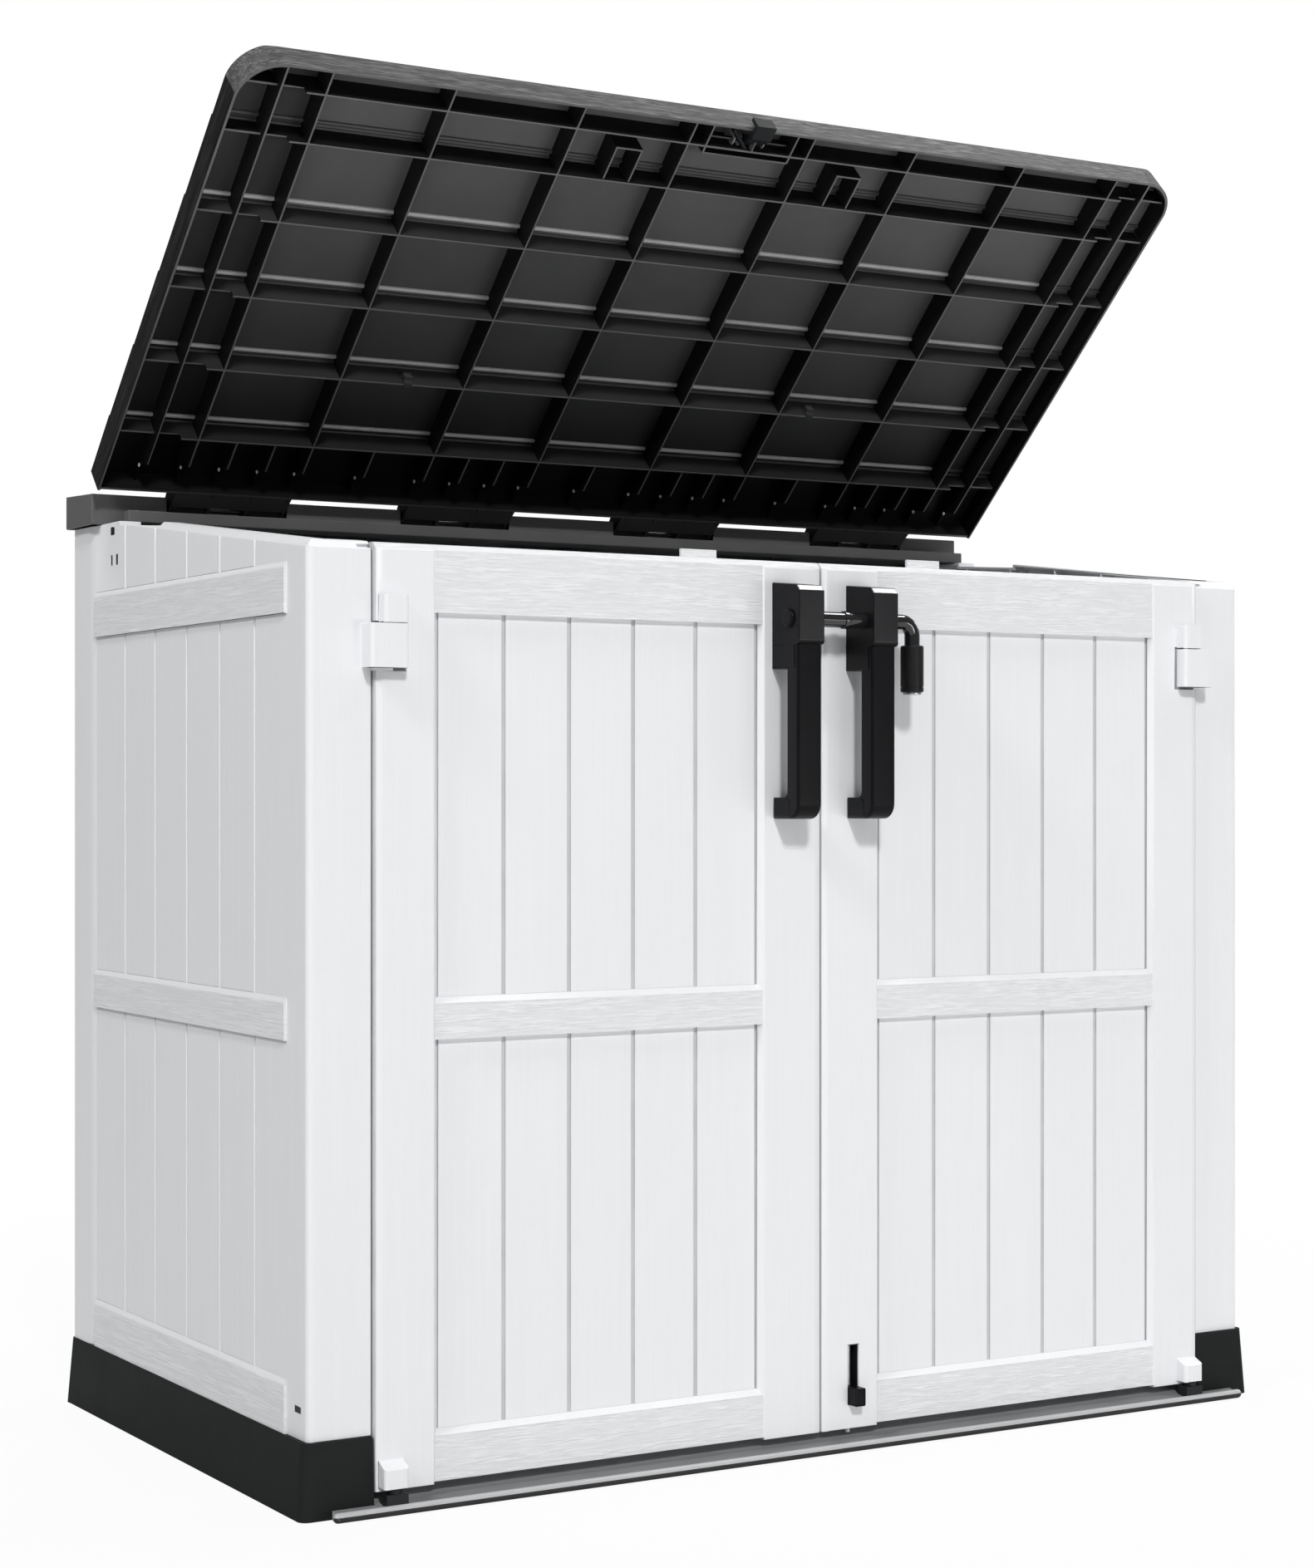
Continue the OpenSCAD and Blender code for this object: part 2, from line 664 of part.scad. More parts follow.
// Hollow of a door behind its boards, rails and stiles
module door_hollow() {
    board_xs = [for (k = [0 : boards]) board_in_x + k * door_pitch];
    low_z = door_z + rail_lift;
    foot = [low_z + skin - rib / 2];
    board_zs = concat(foot, [low_z + low_rail_h], door_rows, [front_h]);
    zs = concat(foot, door_rows, [front_h]);
    for (i = [1 : boards], k = [1 : len(board_zs) - 1])
        span([board_xs[i - 1] + rib / 2, skin, board_zs[k - 1] + rib / 2],
            [board_xs[i] - rib / 2, door_back + eps, board_zs[k] - rib / 2]);
    for (p = [[middle_gap + skin, face_in_x - skin], [face_out_x + skin, door_out_x - skin]],
        k = [1 : len(zs) - 1])
        span([p[0], door_front + skin, zs[k - 1] + rib / 2], [p[1], door_back + eps, zs[k] - rib / 2]);
}

// Recess behind a rail's proud face
module rail_recess(z0, z1) for (k = [0 : boards - 1])
    span([board_in_x + k * door_pitch + rib / 2, door_rail_y + skin, z0 + skin],
        [board_in_x + (k + 1) * door_pitch - rib / 2, skin + eps, z1 - rail_bevel - skin]);

// Vertical section of the door through its stiles and boards, seen from above
module door_outline() polygon([[middle_gap, door_back], [middle_gap, door_front + edge_fall],
    [middle_gap + edge_bevel, door_front], [face_in_x, door_front], [board_in_x, 0], [board_out_x, 0],
    [face_out_x, door_front], [door_out_x - edge_bevel, door_front],
    [door_out_x, door_front + edge_fall], [door_out_x, door_back]]);

// Knuckle of the door from z0 up by h, with a sloping top if fall is set
module door_knuckle(z0, h, fall) intersection() {
    translate([0, 0, z0]) linear_extrude(h)
        knuckle_outline(pin_x - knuckle_hw, pin_x + knuckle_hw, knuckle_front, door_front + 1);
    along_x(pin_x - 2 * knuckle_hw, pin_x + 2 * knuckle_hw)
        polygon([[wall_d, z0 - eps], [wall_d, z0 + h], [door_front, z0 + h],
            [knuckle_front - 1, z0 + h - fall], [knuckle_front - 1, z0 - eps]]);
}

module door_panel() {
    low_z = door_z + rail_lift;
    top_z = front_h - door_top_h;
    notch_z0 = fixed_z - knuckle_gap;
    notch_z1 = fixed_top + knuckle_gap;
    difference() {
        union() {
            difference() {
                union() {
                    translate([0, 0, door_z]) linear_extrude(rim(0) - door_z) door_outline();
                    door_rail(low_z, low_z + low_rail_h, rail_bevel + 1);
                    door_rail(door_mid_z, door_mid_z + door_mid_h, rail_bevel + 1);
                    door_rail(top_z, rim(0), 0);
                }
                difference() {
                    door_hollow();
                    span([notch_x - skin, -wall_d, notch_z0 - skin], [post_x, wall_d, notch_z1 + skin]);
                }
                rail_recess(low_z, low_z + low_rail_h);
                rail_recess(door_mid_z, door_mid_z + door_mid_h);
                rail_recess(top_z, front_h + rail_bevel);
                door_grooves(low_z + low_rail_h, door_mid_z);
                door_grooves(door_mid_z + door_mid_h, top_z);
            }
            door_knuckle(upper_z, upper_h, 0);
            door_knuckle(lower_z, lower_h, 9);
            span([tab_x - tab_w / 2, tab_y, rim(0) - skin],
                [tab_x + tab_w / 2, tab_y + tab_t, front_h + tab_h]);
        }
        span([face_in_x, -wall_d, door_z - eps], [face_out_x, wall_d, low_z]);
        span([notch_x, -wall_d, notch_z0], [post_x, wall_d, fixed_top + eps]);
        span([notch_x, door_front - eps / 10, notch_z0], [post_x, wall_d, notch_z1]);
        along_x(0, post_x) polygon([[door_front - eps, front_h - eps],
            [door_front + 1.5 * rim_bevel, front_h + 1.5 * rim_bevel],
            [-2 * rim_bevel, front_h + 1.5 * rim_bevel]]);
        translate([pin_x, pin_y, upper_z - eps]) cylinder(r = bore_r, h = upper_h - skin + eps);
        translate([pin_x, pin_y, lower_z - eps]) cylinder(r = bore_r, h = lower_h - 2 * skin);
        for (z = screw_zs) y_bar(door_front - eps, door_front + skin + eps, handle_x, z, screw_r + eps);
    }
}

// Grooves between the boards of a door from z0 to z1
module door_grooves(z0, z1) for (k = [0 : boards])
    translate([board_in_x + k * door_pitch, 0, z0])
        translate([-groove_w / 2, -eps, 0]) cube([groove_w, groove_d + eps, z1 - z0]);

module left_door_panel() color(white) from_front() mirror([1, 0, 0]) door_panel();

module right_door_panel() color(white) from_front() difference() {
    door_panel();
    span([bolt_x - slot_w / 2, -wall_d, slot_z],
        [bolt_x + slot_w / 2, door_front + skin + eps, slot_z + slot_h]);
    translate([bolt_x, rod_y, door_z - eps]) cylinder(r = rod_r + rod_fit, h = rail_lift + skin + 2 * eps);
}

// Upper and lower pins that turn with a door
module door_pins() {
    translate([pin_x, pin_y, fixed_z + pin_floor + skin])
        cylinder(r = pin_r, h = upper_z + upper_h - skin - 1 - fixed_z - pin_floor - skin);
    translate([pin_x, pin_y, pin_foot_z])
        cylinder(r = pin_r, h = lower_z + lower_h - 2 * skin - 1 - pin_foot_z);
}

module left_door_pins() color(steel) from_front() mirror([1, 0, 0]) door_pins();
module right_door_pins() color(steel) from_front() door_pins();

// Side of the handle's block in Y and Z
module block_outline() polygon([[door_front, block_z], [door_front, handle_top],
    [handle_front + 10, handle_top - 4], [handle_front, handle_top - 12], [handle_front, block_z + 32],
    [grip_front, block_z + 24], [grip_front, block_z]]);

// Side of the grip and its foot in Y and Z
module grip_outline() {
    translate([grip_front, handle_foot + foot_r]) square([grip_t, block_z + eps - handle_foot - foot_r]);
    translate([grip_front + foot_r, handle_foot]) square([door_front - grip_front - foot_r, foot_h]);
    intersection() {
        translate([grip_front + foot_r, handle_foot + foot_r]) circle(foot_r);
        translate([grip_front, handle_foot]) square(foot_r);
    }
}

module handle() difference() {
    union() {
        along_x(handle_x - block_w / 2, handle_x + block_w / 2) block_outline();
        along_x(handle_x - grip_w / 2, handle_x + grip_w / 2) grip_outline();
    }
    x_bar(handle_x - block_w, handle_x + block_w, bar_y, bar_z, bar_r + bar_fit);
    for (z = screw_zs)
        y_bar(door_front + skin - screw_l - 1, door_front + eps, handle_x, z, screw_r + pin_fit);
}

module left_handle() color("#1d1e20") from_front() mirror([1, 0, 0]) handle();
module right_handle() color("#1d1e20") from_front() handle();

// Screws driven through the stile into the handle from inside
module handle_screws() for (z = screw_zs) {
    y_bar(door_front + skin - screw_l, door_front + skin, handle_x, z, screw_r);
    y_bar(door_front + skin, door_front + skin + screw_head_t, handle_x, z, screw_head_r);
}

module left_handle_screws() color(steel) from_front() mirror([1, 0, 0]) handle_screws();
module right_handle_screws() color(steel) from_front() handle_screws();

// Fixed half of the lock bar, held in the left handle
module lock_stud() color("#8d9094") from_front() {
    head_x = -handle_x - block_w / 2;
    x_bar(head_x - stud_head_t, head_x, bar_y, bar_z, stud_head_r);
    x_bar(head_x - eps, bar_part, bar_y, bar_z, bar_r);
    x_bar(bar_part - collar_l, bar_part, bar_y, bar_z, collar_r);
}

// Sliding half of the lock bar, bent down into the lock body
module lock_bar() color("#8d9094") from_front() {
    x_bar(bar_part + bar_gap, lock_x - bend_r, bar_y, bar_z, bar_r);
    translate([lock_x - bend_r, bar_y, bar_z - bend_r]) rotate([90, 0, 0])
        rotate_extrude(angle = 90) translate([bend_r, 0]) circle(bar_r);
    translate([lock_x, bar_y, lock_top]) cylinder(r = bar_r, h = bar_z - bend_r - lock_top);
}

module lock_body() color("#18191a") from_front()
    translate([lock_x, bar_y, lock_top - lock_len]) cylinder(r = lock_r, h = lock_len);

// Key plug under the lock body, with its keyway
module lock_key_disc() color(steel) from_front() difference() {
    translate([lock_x, bar_y, lock_top - lock_len - key_disc_t]) cylinder(r = key_disc_r, h = key_disc_t);
    translate([lock_x - 1, bar_y - 4, lock_top - lock_len - key_disc_t - eps]) cube([2, 8, 2]);
}

// Channel behind the slot, in which the floor bolt slides
module bolt_guide() color("#141516") from_front() {
    y0 = door_front + skin;
    z0 = slot_z - 2 * guide_end + 1;
    z1 = slot_z + slot_h + 2 * guide_end - 1;
    difference() {
        span([bolt_x - slot_w / 2 - guide_wall, y0, z0], [bolt_x + slot_w / 2 + guide_wall, guide_y1, z1]);
        span([bolt_x - slot_w / 2, y0 - eps, z0 + guide_end],
            [bolt_x + slot_w / 2, guide_y1 - skin, z1 - guide_end]);
        translate([bolt_x, rod_y, z0 - eps]) cylinder(r = rod_r + rod_fit, h = far);
    }
}

module bolt_rod() color(steel) from_front()
    translate([bolt_x, rod_y, rod_foot]) cylinder(r = rod_r, h = rod_top - rod_foot);

module bolt_knob() color("#1d1e20") from_front() difference() {
    span([bolt_x - slot_w / 2 + knob_gap, knob_front, slot_z + knob_gap],
        [bolt_x + slot_w / 2 - knob_gap, guide_y1 - skin - 2 * knob_gap, slot_z + knob_gap + knob_h]);
    translate([bolt_x, rod_y, slot_z - eps]) cylinder(r = rod_r + pin_fit, h = 2 * knob_h);
}

// Raised stretch of the rail in Y and Z from y0 to the rear, drawn in by i
function raised_outline(y0, i) = [[y0 + i, seat_z], [y0 + i, rail_top - raised_fall - i],
    [rail_rear_y - i, rail_top - i], [rail_rear_y - i, seat_z]];

// Raised stretches of the rail: left end, right end, front
raised = [[-bay_x + bay_hw, bay_x - bay_hw, raised_front_y],
    [bay_x + bay_hw, 3 * bay_x - bay_hw, raised_front_y],
    [-3 * bay_x + bay_hw, -bay_x - bay_hw, raised_front_y],
    [3 * bay_x + bay_hw, rail_end_x, raised_front_y + end_back],
    [-rail_end_x, -3 * bay_x - bay_hw, raised_front_y + end_back]];

module hinge_rail() color(graphite) from_front() difference() {
    union() {
        span([-rail_plate_x, seat_y, seat_z], [rail_plate_x, body_d, seat_z + plate_t]);
        span([-rail_plate_x, seat_y, seat_z], [rail_plate_x, seat_y + lip_t, seat_z + lip_h]);
        span([-rail_end_x, rail_rear_y - skin, seat_z], [rail_end_x, rail_rear_y, rail_top]);
        for (r = raised) along_x(r[0], r[1]) polygon(raised_outline(r[2], 0));
        for (c = bays, s = [0, 1]) translate([c, 0, 0]) mirror([s, 0, 0]) rail_boss();
    }
    for (r = raised) along_x(r[0] + skin, r[1] - skin)
        translate([0, -eps]) polygon(raised_outline(r[2] + eps, skin));
    for (c = bays) {
        x_bar(c - bay_hw + 1, c + bay_hw - 1, axis_yy, axis_zz, lid_bore_r);
        translate([c, rail_screw_y, seat_z - eps]) cylinder(r = screw_r + eps, h = plate_t + 2 * eps);
    }
}

// Knuckle of the rail between the arms of the lid, on its pedestal
module rail_boss() {
    x0 = arm_x + arm_t / 2 + boss_fit;
    x1 = arm_out - arm_t / 2 - boss_fit;
    x_bar(x0, x1, axis_yy, axis_zz, boss_r);
    span([x0, axis_yy - boss_r, seat_z + plate_t - eps], [x1, axis_yy + boss_r, axis_zz]);
}

module lid_hinge_pins() color(steel) from_front()
    for (c = bays) x_bar(c - arm_out, c + arm_out, axis_yy, axis_zz, lid_pin_r);

module rail_screws() color(steel) from_front() for (x = bays) {
    translate([x, rail_screw_y, seat_z + plate_t - screw_l]) cylinder(r = screw_r, h = screw_l);
    translate([x, rail_screw_y, seat_z + plate_t]) cylinder(r = screw_head_r, h = screw_head_t);
}

// Moves a piece of the lid, drawn with Y as the distance in front of its rear edge and Z as
// the height above its rim, to its open place on the pins
module on_lid() from_front() translate([0, axis_yy, axis_zz]) rotate([-lid_open, 0, 0])
    translate([0, -axis_back, -axis_rise]) mirror([0, 1, 0]) children();

// Plan of the lid, drawn in by i
module lid_plan(i) {
    w = lid_half - i;
    translate([-w, i]) square([2 * w, lid_len - lid_corner - i]);
    translate([lid_corner - lid_half, i]) square([2 * (lid_half - lid_corner), lid_len - 2 * i]);
    for (s = [-1, 1]) translate([s * (lid_half - lid_corner), lid_len - lid_corner]) circle(lid_corner - i);
}

// Top of the lid as overlapping boards, each rising towards its front end, lowered by i
function lid_boards(i) = let (ends = concat([0], seams, [lid_len]))
    [for (k = [1 : len(ends) - 1]) each [[ends[k - 1], lid_t - board_fall - i], [ends[k], lid_t - i]]];

// Front edge of the lid's top
function lid_edge(i) = [[lid_len - lid_chamfer, lid_t - i], [lid_len, lid_t - lid_chamfer - i], [lid_len, 0]];

module lid_shell() difference() {
    intersection() {
        along_x(-lid_half, lid_half)
            polygon(concat([[0, 0]], [for (k = [0 : 2 * len(seams)]) lid_boards(0)[k]], lid_edge(0)));
        linear_extrude(2 * lid_t) lid_plan(0);
    }
    intersection() {
        along_x(-lid_half, lid_half)
            polygon(concat([[0, -eps]], [for (k = [0 : 2 * len(seams)]) lid_boards(skin)[k]],
                [[lid_len, lid_t - skin], [lid_len, -eps]]));
        translate([0, 0, -eps]) linear_extrude(2 * lid_t) lid_plan(skin);
    }
    span([skin - lid_half, -eps, -eps], [lid_half - skin, skin + eps, skirt_n]);
}

// Rib across the lid at u, shallower where the wall tops pass
module cross_rib(u) {
    x = outer_rib - skin - wall_d;
    span([-x, u - rib / 2, 0], [x, u + rib / 2, rib_top]);
    span([-lid_half, u - rib / 2, wall_relief], [lid_half, u + rib / 2, rib_top]);
}

// Rib along the lid up to u1, cut away at the rear over the rail's lip
module long_rib(x, u1) along_x(x - rib / 2, x + rib / 2)
    polygon([[0, rail_relief], [34, rail_relief], [50, 0], [u1, 0], [u1, rib_top], [0, rib_top]]);

// Socket that takes a door's tab
module socket(x) {
    for (s = [-1, 1]) translate([x + s * socket_w / 2, socket_u, 0])
        translate([-rib / 2, 0, 0]) cube([rib, socket_l, rib_top]);
    span([x - socket_w / 2, socket_u + socket_l - rib, 0], [x + socket_w / 2, socket_u + socket_l, rib_top]);
}

// Pocket that carries the latch
module latch_pocket() {
    for (x = [-pocket_hw, pocket_hw]) span([x - rib / 2, pocket_u, 0], [x + rib / 2, lid_len, rib_top]);
    span([-pocket_hw, pocket_u - rib / 2, 0], [pocket_hw, pocket_u + rib / 2, rib_top]);
}

// Arm that reaches back to the pins
module hinge_arm(x) {
    along_x(x - arm_t / 2, x + arm_t / 2)
        polygon([[-axis_back, axis_rise + boss_r], [skin / 2, rib_top], [skin / 2, web_n - 2],
            [-axis_back, axis_rise - boss_r]]);
    x_bar(x - arm_t / 2, x + arm_t / 2, -axis_back, axis_rise, boss_r);
}

module lid_panel() color(graphite) on_lid() difference() {
    union() {
        lid_shell();
        intersection() {
            union() {
                for (u = seams) cross_rib(u);
                cross_rib(last_rib);
                for (x = long_ribs) long_rib(x, lid_len);
                for (x = short_ribs) long_rib(x, first_row);
                for (x = [-tab_x, tab_x]) socket(x);
                latch_pocket();
            }
            linear_extrude(lid_t) lid_plan(skin / 2);
        }
        for (c = bays) {
            for (x = [-arm_out, -arm_x, arm_x, arm_out]) hinge_arm(c + x);
            span([c - arm_out, web_u, web_n], [c + arm_out, skin / 2, web_n + plate_t]);
        }
    }
    for (c = bays) x_bar(c - bay_hw, c + bay_hw, -axis_back, axis_rise, lid_bore_r);
    x_bar(-pocket_hw - rib, pocket_hw + rib, latch_u, latch_n, latch_pin_r + pin_fit);
}

module latch_pin() color(steel) on_lid()
    x_bar(-pocket_hw - rib / 2, pocket_hw + rib / 2, latch_u, latch_n, latch_pin_r);

// Hook that turns on its pin and reaches round the lid's front rim
module latch_hook() color("#2b2c2e") on_lid() difference() {
    union() {
        along_x(hook_x - hook_w / 2, hook_x + hook_w / 2)
            polygon([[latch_u - 4, latch_n - 5], [latch_u + 4, latch_n + 5], [lid_len - 6, -3],
                [lid_len + 5, -3], [lid_len + 6, 10], [lid_len + 11, 10], [lid_len + 11, -10],
                [lid_len - 10, -10]]);
        x_bar(hook_x - hook_w / 2, hook_x + hook_w / 2, latch_u, latch_n, 2 * latch_pin_r);
    }
    x_bar(hook_x - hook_w, hook_x + hook_w, latch_u, latch_n, latch_pin_r + pin_fit);
}

base_floor();
front_sill();
left_side_panel();
right_side_panel();
rear_panel();
hinge_rail();
lid_hinge_pins();
rail_screws();
left_panel_clips();
right_panel_clips();
left_hinge_post();
right_hinge_post();
left_door_panel();
left_door_pins();
left_handle();
left_handle_screws();
lock_stud();
right_door_panel();
right_door_pins();
right_handle();
right_handle_screws();
bolt_guide();
bolt_rod();
bolt_knob();
lock_bar();
lock_body();
lock_key_disc();
lid_panel();
latch_pin();
latch_hook();
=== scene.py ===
"""Looks of the garden storage cabinet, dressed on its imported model. Metres, in the model's frame."""

import json
import logging
import math
from collections.abc import Callable, Iterator, Sequence
from contextlib import contextmanager
from dataclasses import dataclass
from enum import Enum

import bmesh
import bpy
from mathutils import Matrix, Vector


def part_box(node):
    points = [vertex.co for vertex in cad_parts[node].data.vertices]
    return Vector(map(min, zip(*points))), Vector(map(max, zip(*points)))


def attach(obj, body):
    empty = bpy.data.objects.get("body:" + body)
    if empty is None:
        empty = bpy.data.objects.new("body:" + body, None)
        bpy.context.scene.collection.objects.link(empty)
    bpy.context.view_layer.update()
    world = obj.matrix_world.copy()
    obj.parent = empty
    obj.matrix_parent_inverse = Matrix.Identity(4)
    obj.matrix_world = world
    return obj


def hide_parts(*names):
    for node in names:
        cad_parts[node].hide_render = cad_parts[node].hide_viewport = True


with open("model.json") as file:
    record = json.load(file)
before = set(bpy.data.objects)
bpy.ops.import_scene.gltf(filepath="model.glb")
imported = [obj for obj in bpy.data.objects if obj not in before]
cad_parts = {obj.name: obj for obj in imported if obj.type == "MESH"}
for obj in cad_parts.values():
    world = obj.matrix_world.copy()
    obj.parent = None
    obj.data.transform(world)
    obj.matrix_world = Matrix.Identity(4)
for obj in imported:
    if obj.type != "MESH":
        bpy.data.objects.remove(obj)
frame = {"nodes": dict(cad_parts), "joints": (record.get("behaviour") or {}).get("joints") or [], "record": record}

log = logging.getLogger("garden_cabinet")

Point = Sequence[float]
FaceTest = Callable[[Vector, Vector], bool]
EdgeTest = Callable[[Vector, Vector], bool]

LID_OPEN = math.radians(42.8)
PIN_BEHIND_LID = 0.0439
PIN_ABOVE_RIM = 0.0202

# Parts of a unit vector: along an axis, mostly along it, leaning towards it, square to it.
ALONG = 0.9
MOSTLY = 0.8
LEANING = 0.35
SQUARE = 0.1

# Tolerances in metres: places count as level within the first, and as the same within the second.
NEAR = 1e-4
TOUCH = 1e-5


class Side(Enum):
    """Side of the cabinet as seen from the front, with the sign of its X."""

    LEFT = -1
    RIGHT = 1

    @property
    def word(self) -> str:
        """The side's name as the nodes use it."""
        return self.name.lower()


class Grain(Enum):
    """Direction in which moulded wood grain runs: size of a streak along X, Y and Z, in metres."""

    ACROSS = (0.026, 0.0019, 0.0019)
    DEEP = (0.0024, 0.050, 0.0024)
    UPRIGHT = (0.0022, 0.0022, 0.13)


class Recipe:
    """Node tree of one material, built round its Principled shader."""

    def __init__(self, name: str) -> None:
        """Starts an empty material.

        Args:
            name: Name of the material.
        """
        self.material = bpy.data.materials.new(name)
        self.material.use_nodes = True
        self.tree = self.material.node_tree
        self.shader = self.tree.nodes["Principled BSDF"]

    def node(self, kind: str, inputs: dict | None = None, **settings: object) -> bpy.types.Node:
        """Adds a node.

        Args:
            kind: Blender's name of the node type.
            inputs: Values, or output sockets to join, by input name or number.
            settings: Properties of the node itself.

        Returns:
            The new node.
        """
        made = self.tree.nodes.new(kind)
        for name, value in settings.items():
            setattr(made, name, value)
        for name, value in (inputs or {}).items():
            if isinstance(value, bpy.types.NodeSocket):
                self.tree.links.new(value, made.inputs[name])
            else:
                made.inputs[name].default_value = value
        return made

    def feed(self, source: bpy.types.NodeSocket, target: str) -> None:
        """Joins an output to an input of the shader.

        Args:
            source: Output socket.
            target: Name of the shader's input.
        """
        self.tree.links.new(source, self.shader.inputs[target])

    def steps(self, value: bpy.types.NodeSocket, low: float, high: float,
              to_low: float, to_high: float) -> bpy.types.NodeSocket:
        """Maps a range of values to another one, held at its ends.

        Args:
            value: Socket that gives the value.
            low: Value that becomes to_low.
            high: Value that becomes to_high.
            to_low: Result at and below low.
            to_high: Result at and above high.

        Returns:
            The output socket.
        """
        ranged = self.node("ShaderNodeMapRange", {"Value": value, "From Min": low, "From Max": high,
                                                  "To Min": to_low, "To Max": to_high})
        return ranged.outputs["Result"]

    def blend(self, share: bpy.types.NodeSocket, first: Point, second: Point) -> bpy.types.NodeSocket:
        """Mixes two colours.

        Args:
            share: Socket with the share of the second colour.
            first: First colour.
            second: Second colour.

        Returns:
            The colour socket.
        """
        mixed = self.node("ShaderNodeMix", {0: share}, data_type="RGBA")
        mixed.inputs[6].default_value = (*first, 1.0)
        mixed.inputs[7].default_value = (*second, 1.0)
        return mixed.outputs[2]


@dataclass(frozen=True)
class Finish:
    """A moulded or metal surface with a fine skin texture and a slight change of shade."""

    name: str
    colour: tuple[float, float, float]
    roughness: float = 0.5
    metallic: float = 0.0
    coat: float = 0.0
    coat_roughness: float = 0.12
    specular: float = 0.5
    gloss_change: float = 0.05
    mottle: float = 0.08
    mottle_size: float = 0.06
    skin_size: float = 0.0009
    skin_depth: float = 0.00003

    def shade(self, factor: float) -> tuple[float, float, float]:
        """The colour made lighter or darker by a factor."""
        return tuple(min(1.0, c * factor) for c in self.colour)

    def material(self) -> bpy.types.Material:
        """The finish as a material, made on first use.

        Returns:
            The material of this name.
        """
        known = bpy.data.materials.get(self.name)
        if known:
            return known
        recipe = Recipe(self.name)
        recipe.shader.inputs["Metallic"].default_value = self.metallic
        recipe.shader.inputs["Specular IOR Level"].default_value = self.specular
        recipe.shader.inputs["Coat Weight"].default_value = self.coat
        recipe.shader.inputs["Coat Roughness"].default_value = self.coat_roughness
        recipe.material.diffuse_color = (*self.colour, 1.0)
        self.dress(recipe)
        return recipe.material

    def dress(self, recipe: Recipe) -> None:
        """Adds the colour, gloss and skin of the surface.

        Args:
            recipe: The node tree to add to.
        """
        place = recipe.node("ShaderNodeTexCoord").outputs["Object"]
        cloud = recipe.node("ShaderNodeTexNoise", {"Vector": place, "Scale": 1 / self.mottle_size,
                                                   "Detail": 3.0, "Roughness": 0.55})
        skin = recipe.node("ShaderNodeTexNoise", {"Vector": place, "Scale": 1 / self.skin_size,
                                                  "Detail": 2.0, "Roughness": 0.6})
        share = recipe.steps(cloud.outputs["Fac"], low=0.32, high=0.68, to_low=0.0, to_high=1.0)
        dark, light = self.shade(1 - self.mottle), self.shade(1 + self.mottle)
        recipe.feed(recipe.blend(share, dark, light), "Base Color")
        gloss = recipe.steps(cloud.outputs["Fac"], low=0.3, high=0.7,
                             to_low=self.roughness - self.gloss_change,
                             to_high=self.roughness + self.gloss_change)
        recipe.feed(gloss, "Roughness")
        bump = recipe.node("ShaderNodeBump", {"Height": skin.outputs["Fac"], "Strength": 1.0,
                                              "Distance": self.skin_depth})
        recipe.feed(bump.outputs["Normal"], "Normal")


@dataclass(frozen=True)
class GrainedResin(Finish):
    """Resin with a moulded wood grain: long streaks, broken by a slower figure."""

    along: Grain = Grain.UPRIGHT
    depth: float = 0.00012
    contrast: float = 0.03
    tilt: float = 0.0
    figure_size: float = 4.5
    groove_contrast: float = 2.2
    groove_gloss: tuple[float, float] = (0.08, 0.04)

    def dress(self, recipe: Recipe) -> None:
        """Adds streaks to the colour, gloss and relief.

        Args:
            recipe: The node tree to add to.
        """
        place = recipe.node("ShaderNodeTexCoord").outputs["Object"]
        turned = {"Vector": place, "Rotation": (self.tilt, 0.0, 0.0)}
        fine = recipe.node("ShaderNodeMapping", {**turned, "Scale": self.along.value}, vector_type="TEXTURE")
        slower = tuple(self.figure_size * s for s in self.along.value)
        slow = recipe.node("ShaderNodeMapping", {**turned, "Scale": slower}, vector_type="TEXTURE")
        fibres = recipe.node("ShaderNodeTexNoise", {"Vector": fine.outputs["Vector"], "Scale": 1.0,
                                                    "Detail": 4.0, "Roughness": 0.55, "Distortion": 0.35})
        figure = recipe.node("ShaderNodeTexNoise", {"Vector": slow.outputs["Vector"], "Scale": 1.0,
                                                    "Detail": 2.0, "Roughness": 0.5, "Distortion": 0.8})
        cut = recipe.steps(fibres.outputs["Fac"], low=0.36, high=0.60, to_low=0.0, to_high=1.0)
        swell = recipe.steps(figure.outputs["Fac"], low=0.35, high=0.65, to_low=0.25, to_high=1.0)
        height = recipe.node("ShaderNodeMath", {0: cut, 1: swell}, operation="MULTIPLY").outputs["Value"]
        light, dark = self.shade(1 + self.contrast), self.shade(1 - self.groove_contrast * self.contrast)
        recipe.feed(recipe.blend(height, dark, light), "Base Color")
        duller, glossier = self.groove_gloss
        gloss = recipe.steps(height, low=0.0, high=1.0, to_low=self.roughness + duller,
                             to_high=self.roughness - glossier)
        recipe.feed(gloss, "Roughness")
        bump = recipe.node("ShaderNodeBump", {"Height": height, "Strength": 1.0, "Distance": self.depth})
        recipe.feed(bump.outputs["Normal"], "Normal")


